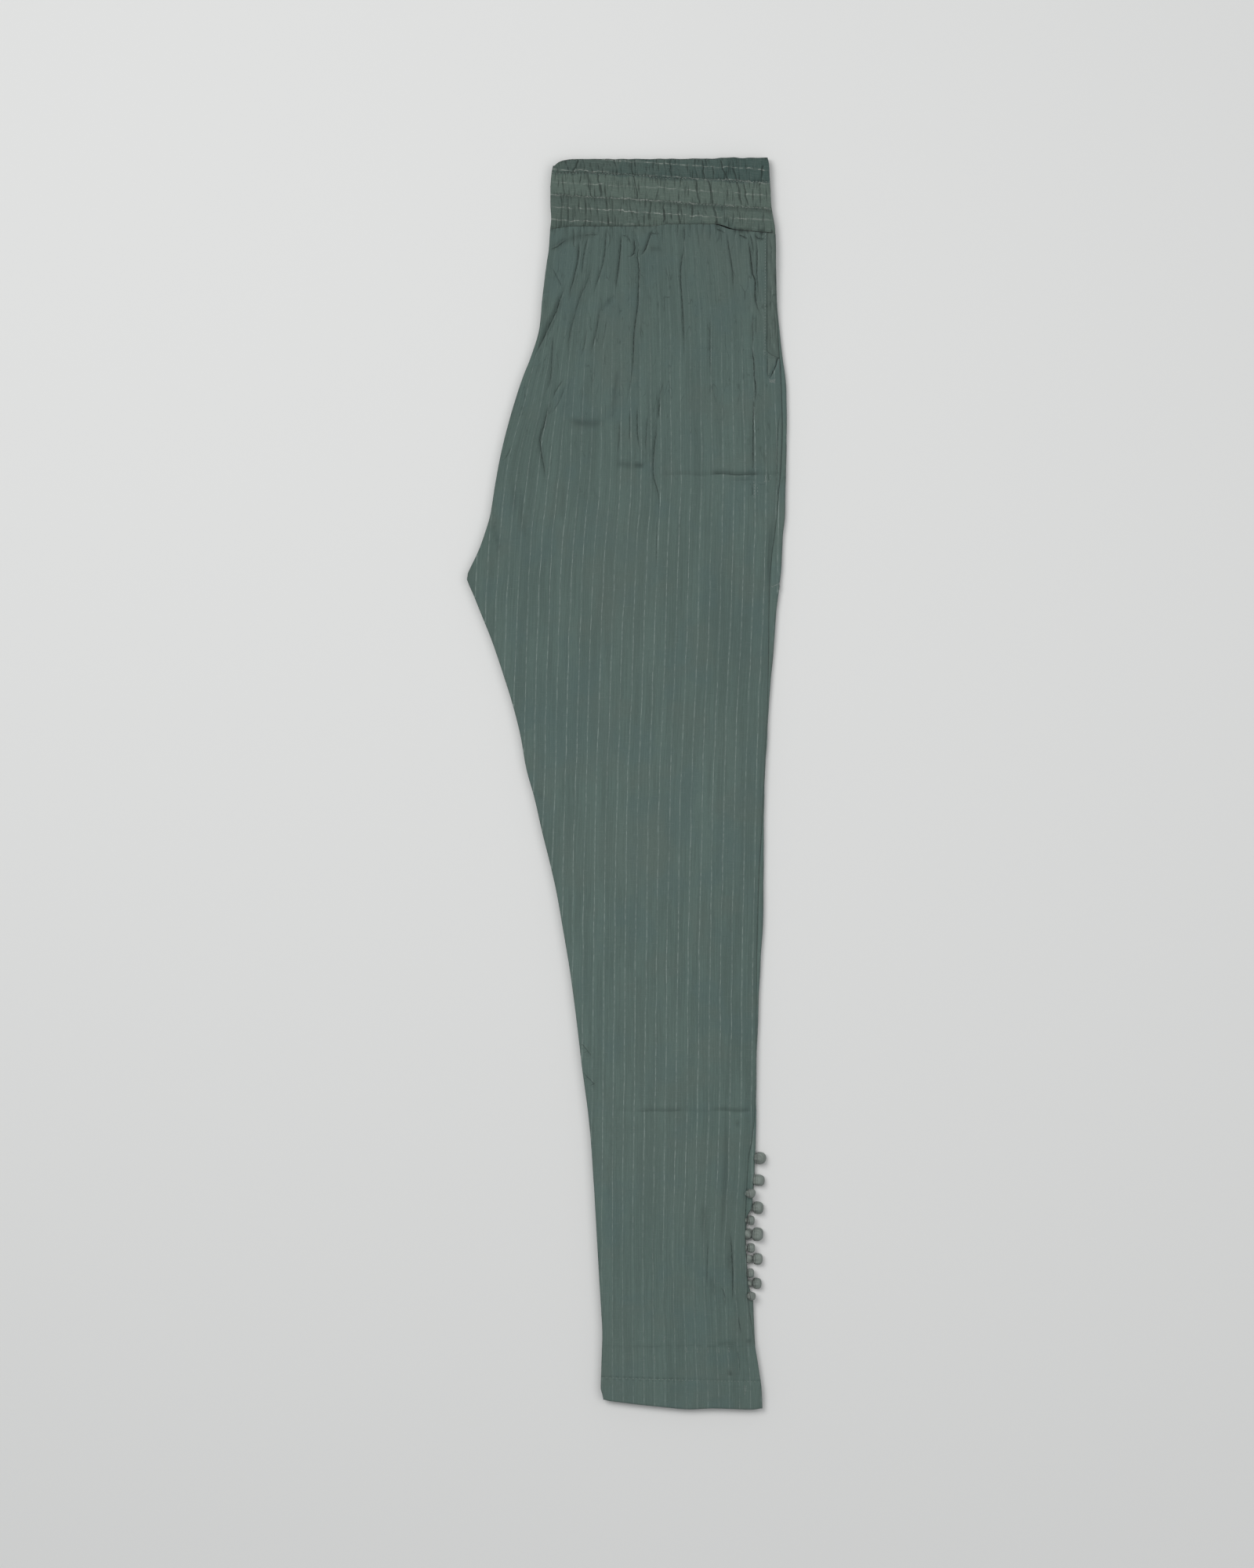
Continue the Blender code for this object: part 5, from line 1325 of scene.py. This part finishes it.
lower_band_front = band_layer_under("lower_band_front", 0, ROLLED_UP, 71)
lower_band_back = band_layer_under("lower_band_back", 1, ROLLED_DOWN, 73)
upper_band_back = band_layer_under("upper_band_back", 2, ROLLED_UP, 75)
band_x, band_down = band_grid(610, 48, TOP_RIM_REACH)
band_down[-1] += (1.0 - SEAM_RIM) * TOP_RIM_REACH - 0.15
upper_band_front = sheet_over(
    "upper_band_front", band_x, band_down, band_surface, under_band_front, TOP_RIM, band_cloth_map,
    BAND_COTTON_PAINTED_DARKER, foot=SEAM_RIM)

# The two rows of stitches through the elastic.
row_x = np.linspace(-56.5, 109.0, 120)
band_rows = [list(zip(row_x, line)) for line in band_lines(row_x)[1:3]]
band_stitches = sewn("band_stitches", band_surface, band_rows, pitch=2.7, stitch=2.0)
for layer, node in ((lower_band_front, "hidden_layers"), (lower_band_back, "hidden_layers"),
                    (upper_band_back, "hidden_layers"), (upper_band_front, "waistband")):
    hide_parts(node)
    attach(layer, "root")


# Covered ball buttons
# Eleven small balls of cotton, gathered onto short rolled stalks that are sewn into the ankle
# vents: six on the lower leg's outseam, just off the floor, and five on the upper leg's.
# Each has its ball's place and height, its length and width, and its stalk's width.
BUTTON_COLUMNS = ("x", "down", "high", "long", "wide", "stalk")
LOWER_BUTTONS = (
    (101.7, 763.8, 5.1, 8.4, 9.4, 4.0),
    (100.7, 780.8, 4.9, 8.2, 9.0, 3.6),
    (100.2, 801.8, 4.9, 7.8, 9.2, 4.4),
    (99.8, 822.0, 5.5, 8.2, 10.2, 8.4),
    (99.9, 840.8, 4.6, 7.4, 8.2, 6.4),
    (99.4, 859.6, 4.4, 6.8, 8.0, 5.2),
)
UPPER_BUTTONS = (
    (94.6, 790.4, 9.4, 5.8, 7.2, 3.6),
    (94.6, 811.2, 6.6, 5.8, 7.2, 3.4),
    (94.8, 832.2, 6.4, 6.0, 6.8, 4.0),
    (94.3, 851.6, 6.4, 5.6, 7.2, 3.8),
    (95.1, 868.8, 8.2, 5.6, 6.8, 3.4),
)
BUTTON_ANGLES = np.linspace(0.0, 2.0 * math.pi, 48, endpoint=False)
STALK_RINGS = 6
BALL_RINGS = 26
# The buttons' cotton: a lighter copy of the leg's, painted lighter for the highlights the balls catch.
BUTTON_COTTON_PAINTED_LIGHTER = pinstriped_cotton(
    "button_cotton_painted_lighter", ground=(0.215, 0.248, 0.225), stripe=(0.32, 0.345, 0.325),
    cool=(0.188, 0.232, 0.216), warm=(0.232, 0.254, 0.230))


def button_rings(size, reach, phase):
    """Rings from the stalk's root over the ball: how far along each is, its radii and its painted shades."""
    half_length = 0.5 * size["long"]
    rings = []
    # Painted shade along the stalk, deepest under the ball and in its folds' hollows.
    for step in np.linspace(0.0, 1.0, STALK_RINGS, endpoint=False):
        folded = np.cos(3.0 * BUTTON_ANGLES - 3.0 * step + phase[0])
        narrowed = 1.0 - 0.25 * mound(step - 0.9, 0.2)
        radii = 0.5 * size["stalk"] * narrowed * (1.0 + 0.1 * folded)
        rings.append((step * (reach - half_length), radii, 0.12 + 0.5 * step ** 3 - 0.22 * folded))
    for step in np.linspace(0.03, 0.99, BALL_RINGS):
        angle = math.pi * step
        gathered = (1.0 - step) ** 2
        ripples = 0.6 * np.sin(3.0 * BUTTON_ANGLES + phase[0])
        folded = np.cos(7.0 * BUTTON_ANGLES + phase[1] + 2.5 * step + ripples)
        pleats = 1.0 + 0.15 * gathered * folded
        lumps = 1.0 + 0.05 * np.cos(2.0 * BUTTON_ANGLES + phase[2])
        lumps += 0.035 * np.cos(3.0 * BUTTON_ANGLES + phase[3] + 4.0 * step)
        lumps += 0.03 * np.cos(4.0 * BUTTON_ANGLES + phase[1] - 3.0 * step)
        radii = np.maximum(0.5 * size["wide"] * math.sin(angle) ** 0.58 * pleats * lumps, 0.3)
        past_neck = half_length * (1.0 - math.copysign(abs(math.cos(angle)) ** 0.85, math.cos(angle)))
        # Painted shade at the neck, in the pleats' hollows and on one side.
        shades = 1.1 * mound(past_neck, 0.9) - 0.5 * gathered * np.minimum(folded + 0.3, 0.0)
        shades += 0.12 * np.cos(BUTTON_ANGLES + phase[0]) + 0.08
        rings.append((reach - half_length + past_neck, radii, shades))
    return rings


def covered_button(name, row, root, seed):
    """A ball turned about the line from its stalk's root, its cover gathered in pleats at the neck and
    darkened there by painted shade.
    """
    size = dict(zip(BUTTON_COLUMNS, row))
    start = Vector((root[0], LENGTH / 2.0 - root[1], root[2]))
    centre = Vector((size["x"], LENGTH / 2.0 - size["down"], size["high"]))
    turn = Vector((0.0, 0.0, 1.0)).rotation_difference((centre - start).normalized())
    phase = np.random.default_rng(seed).uniform(0.0, 2.0 * math.pi, 4)
    rings = button_rings(size, (centre - start).length, phase)
    points = []
    dark = []
    chart = []
    for along, radii, shades in rings:
        for angle, radius, shade in zip(BUTTON_ANGLES, radii, shades):
            place = start + turn @ Vector((radius * math.cos(angle), radius * math.sin(angle), along))
            place.z = max(place.z, 0.05)
            points.append(place * MM)
            # Painted shade in the wrinkles just past the neck.
            near_neck = place.x - centre.x + 0.5 * size["long"]
            swirl = 1.3 * math.cos(2.0 * angle + phase[3])
            wrinkle = max(0.35 + math.cos(2.0 * math.pi * near_neck / 1.5 + swirl), 0.0)
            dark.append(shade + 0.75 * wrinkle * mound(near_neck - 1.7, 1.2))
            across = 0.35 + 3.0 * math.cos(angle) * radius / size["wide"] + phase[0]
            chart.append((across, along + 20.0 * phase[1]))
    number = np.arange(len(points)).reshape(len(rings), -1)
    faces = []
    for ring, following in zip(number, number[1:]):
        faces += faces_between(ring, following)
    faces += [number[0, ::-1].tolist(), number[-1].tolist()]
    marks = {"fold": np.clip(dark, 0.0, 1.0), "wash": np.full(len(points), 0.5)}
    button = cloth_piece(name, points, faces, np.array(chart), marks, BUTTON_COTTON_PAINTED_LIGHTER)
    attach(button, "root")
    return button


for leg, buttons, sewn_in, root_height, seed in (
        ("lower", LOWER_BUTTONS, 0.2, 0.55 * LEG_PILE, 80),
        ("upper", UPPER_BUTTONS, 0.1, LEG_PILE + 0.2, 90)):
    for number, row in enumerate(buttons, 1):
        root = (float(edge(leg, row[1])) - sewn_in, row[1], root_height)
        button = covered_button(f"covered_button_{leg}_{number}", row, root, seed + number)
        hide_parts(f"ball_button_{leg}_{number}")


# Floor, light and camera
# A plain pale floor, a wide soft lamp high on the left, a weaker one on the right and a camera
# that looks straight down, as the garment was seen.
FLOOR_SIDE = 40.0
FLOOR_COLOUR = (0.74, 0.74, 0.73, 1.0)
CAMERA_HEIGHT = 3.0
VIEW_HEIGHT = 1.2
floor_mesh = bpy.data.meshes.new("floor")
half_floor = FLOOR_SIDE / 2.0
floor_mesh.from_pydata(
    [(-half_floor, -half_floor, 0.0), (half_floor, -half_floor, 0.0), (half_floor, half_floor, 0.0),
     (-half_floor, half_floor, 0.0)], [], [(0, 1, 2, 3)])
floor = put_in_scene("floor", floor_mesh)
floor_paint = bpy.data.materials.new("floor_paint")
floor_paint.use_nodes = True
paint_tree = floor_paint.node_tree
feed(paint_tree, paint_tree.nodes["Principled BSDF"], {"Base Color": FLOOR_COLOUR, "Roughness": 0.7})
floor_mesh.materials.append(floor_paint)

for name, place, side, power in (
        ("key_lamp", (-0.9, 0.8, 2.4), 1.4, 37.0),
        ("fill_lamp", (1.1, 0.1, 2.4), 2.0, 20.0)):
    lamp_data = bpy.data.lights.new(name, "AREA")
    lamp_data.shape = "SQUARE"
    lamp_data.size = side
    lamp_data.energy = power
    lamp = put_in_scene(name, lamp_data)
    lamp.location = place
    lamp.rotation_euler = (-Vector(place)).to_track_quat("-Z", "Y").to_euler()
world = bpy.data.worlds.new("studio")
world.use_nodes = True
sky = world.node_tree.nodes["Background"]
feed(world.node_tree, sky, {"Color": (0.95, 0.98, 1.0, 1.0), "Strength": 0.3})
bpy.context.scene.world = world
bpy.context.scene.view_settings.view_transform = "Standard"

camera_data = bpy.data.cameras.new("camera")
camera_data.sensor_width = 36.0
camera_data.lens = camera_data.sensor_width * CAMERA_HEIGHT / VIEW_HEIGHT
camera_data.clip_end = 20.0
camera = put_in_scene("camera", camera_data)
camera.location = (0.0, 0.0, CAMERA_HEIGHT)
bpy.context.scene.camera = camera
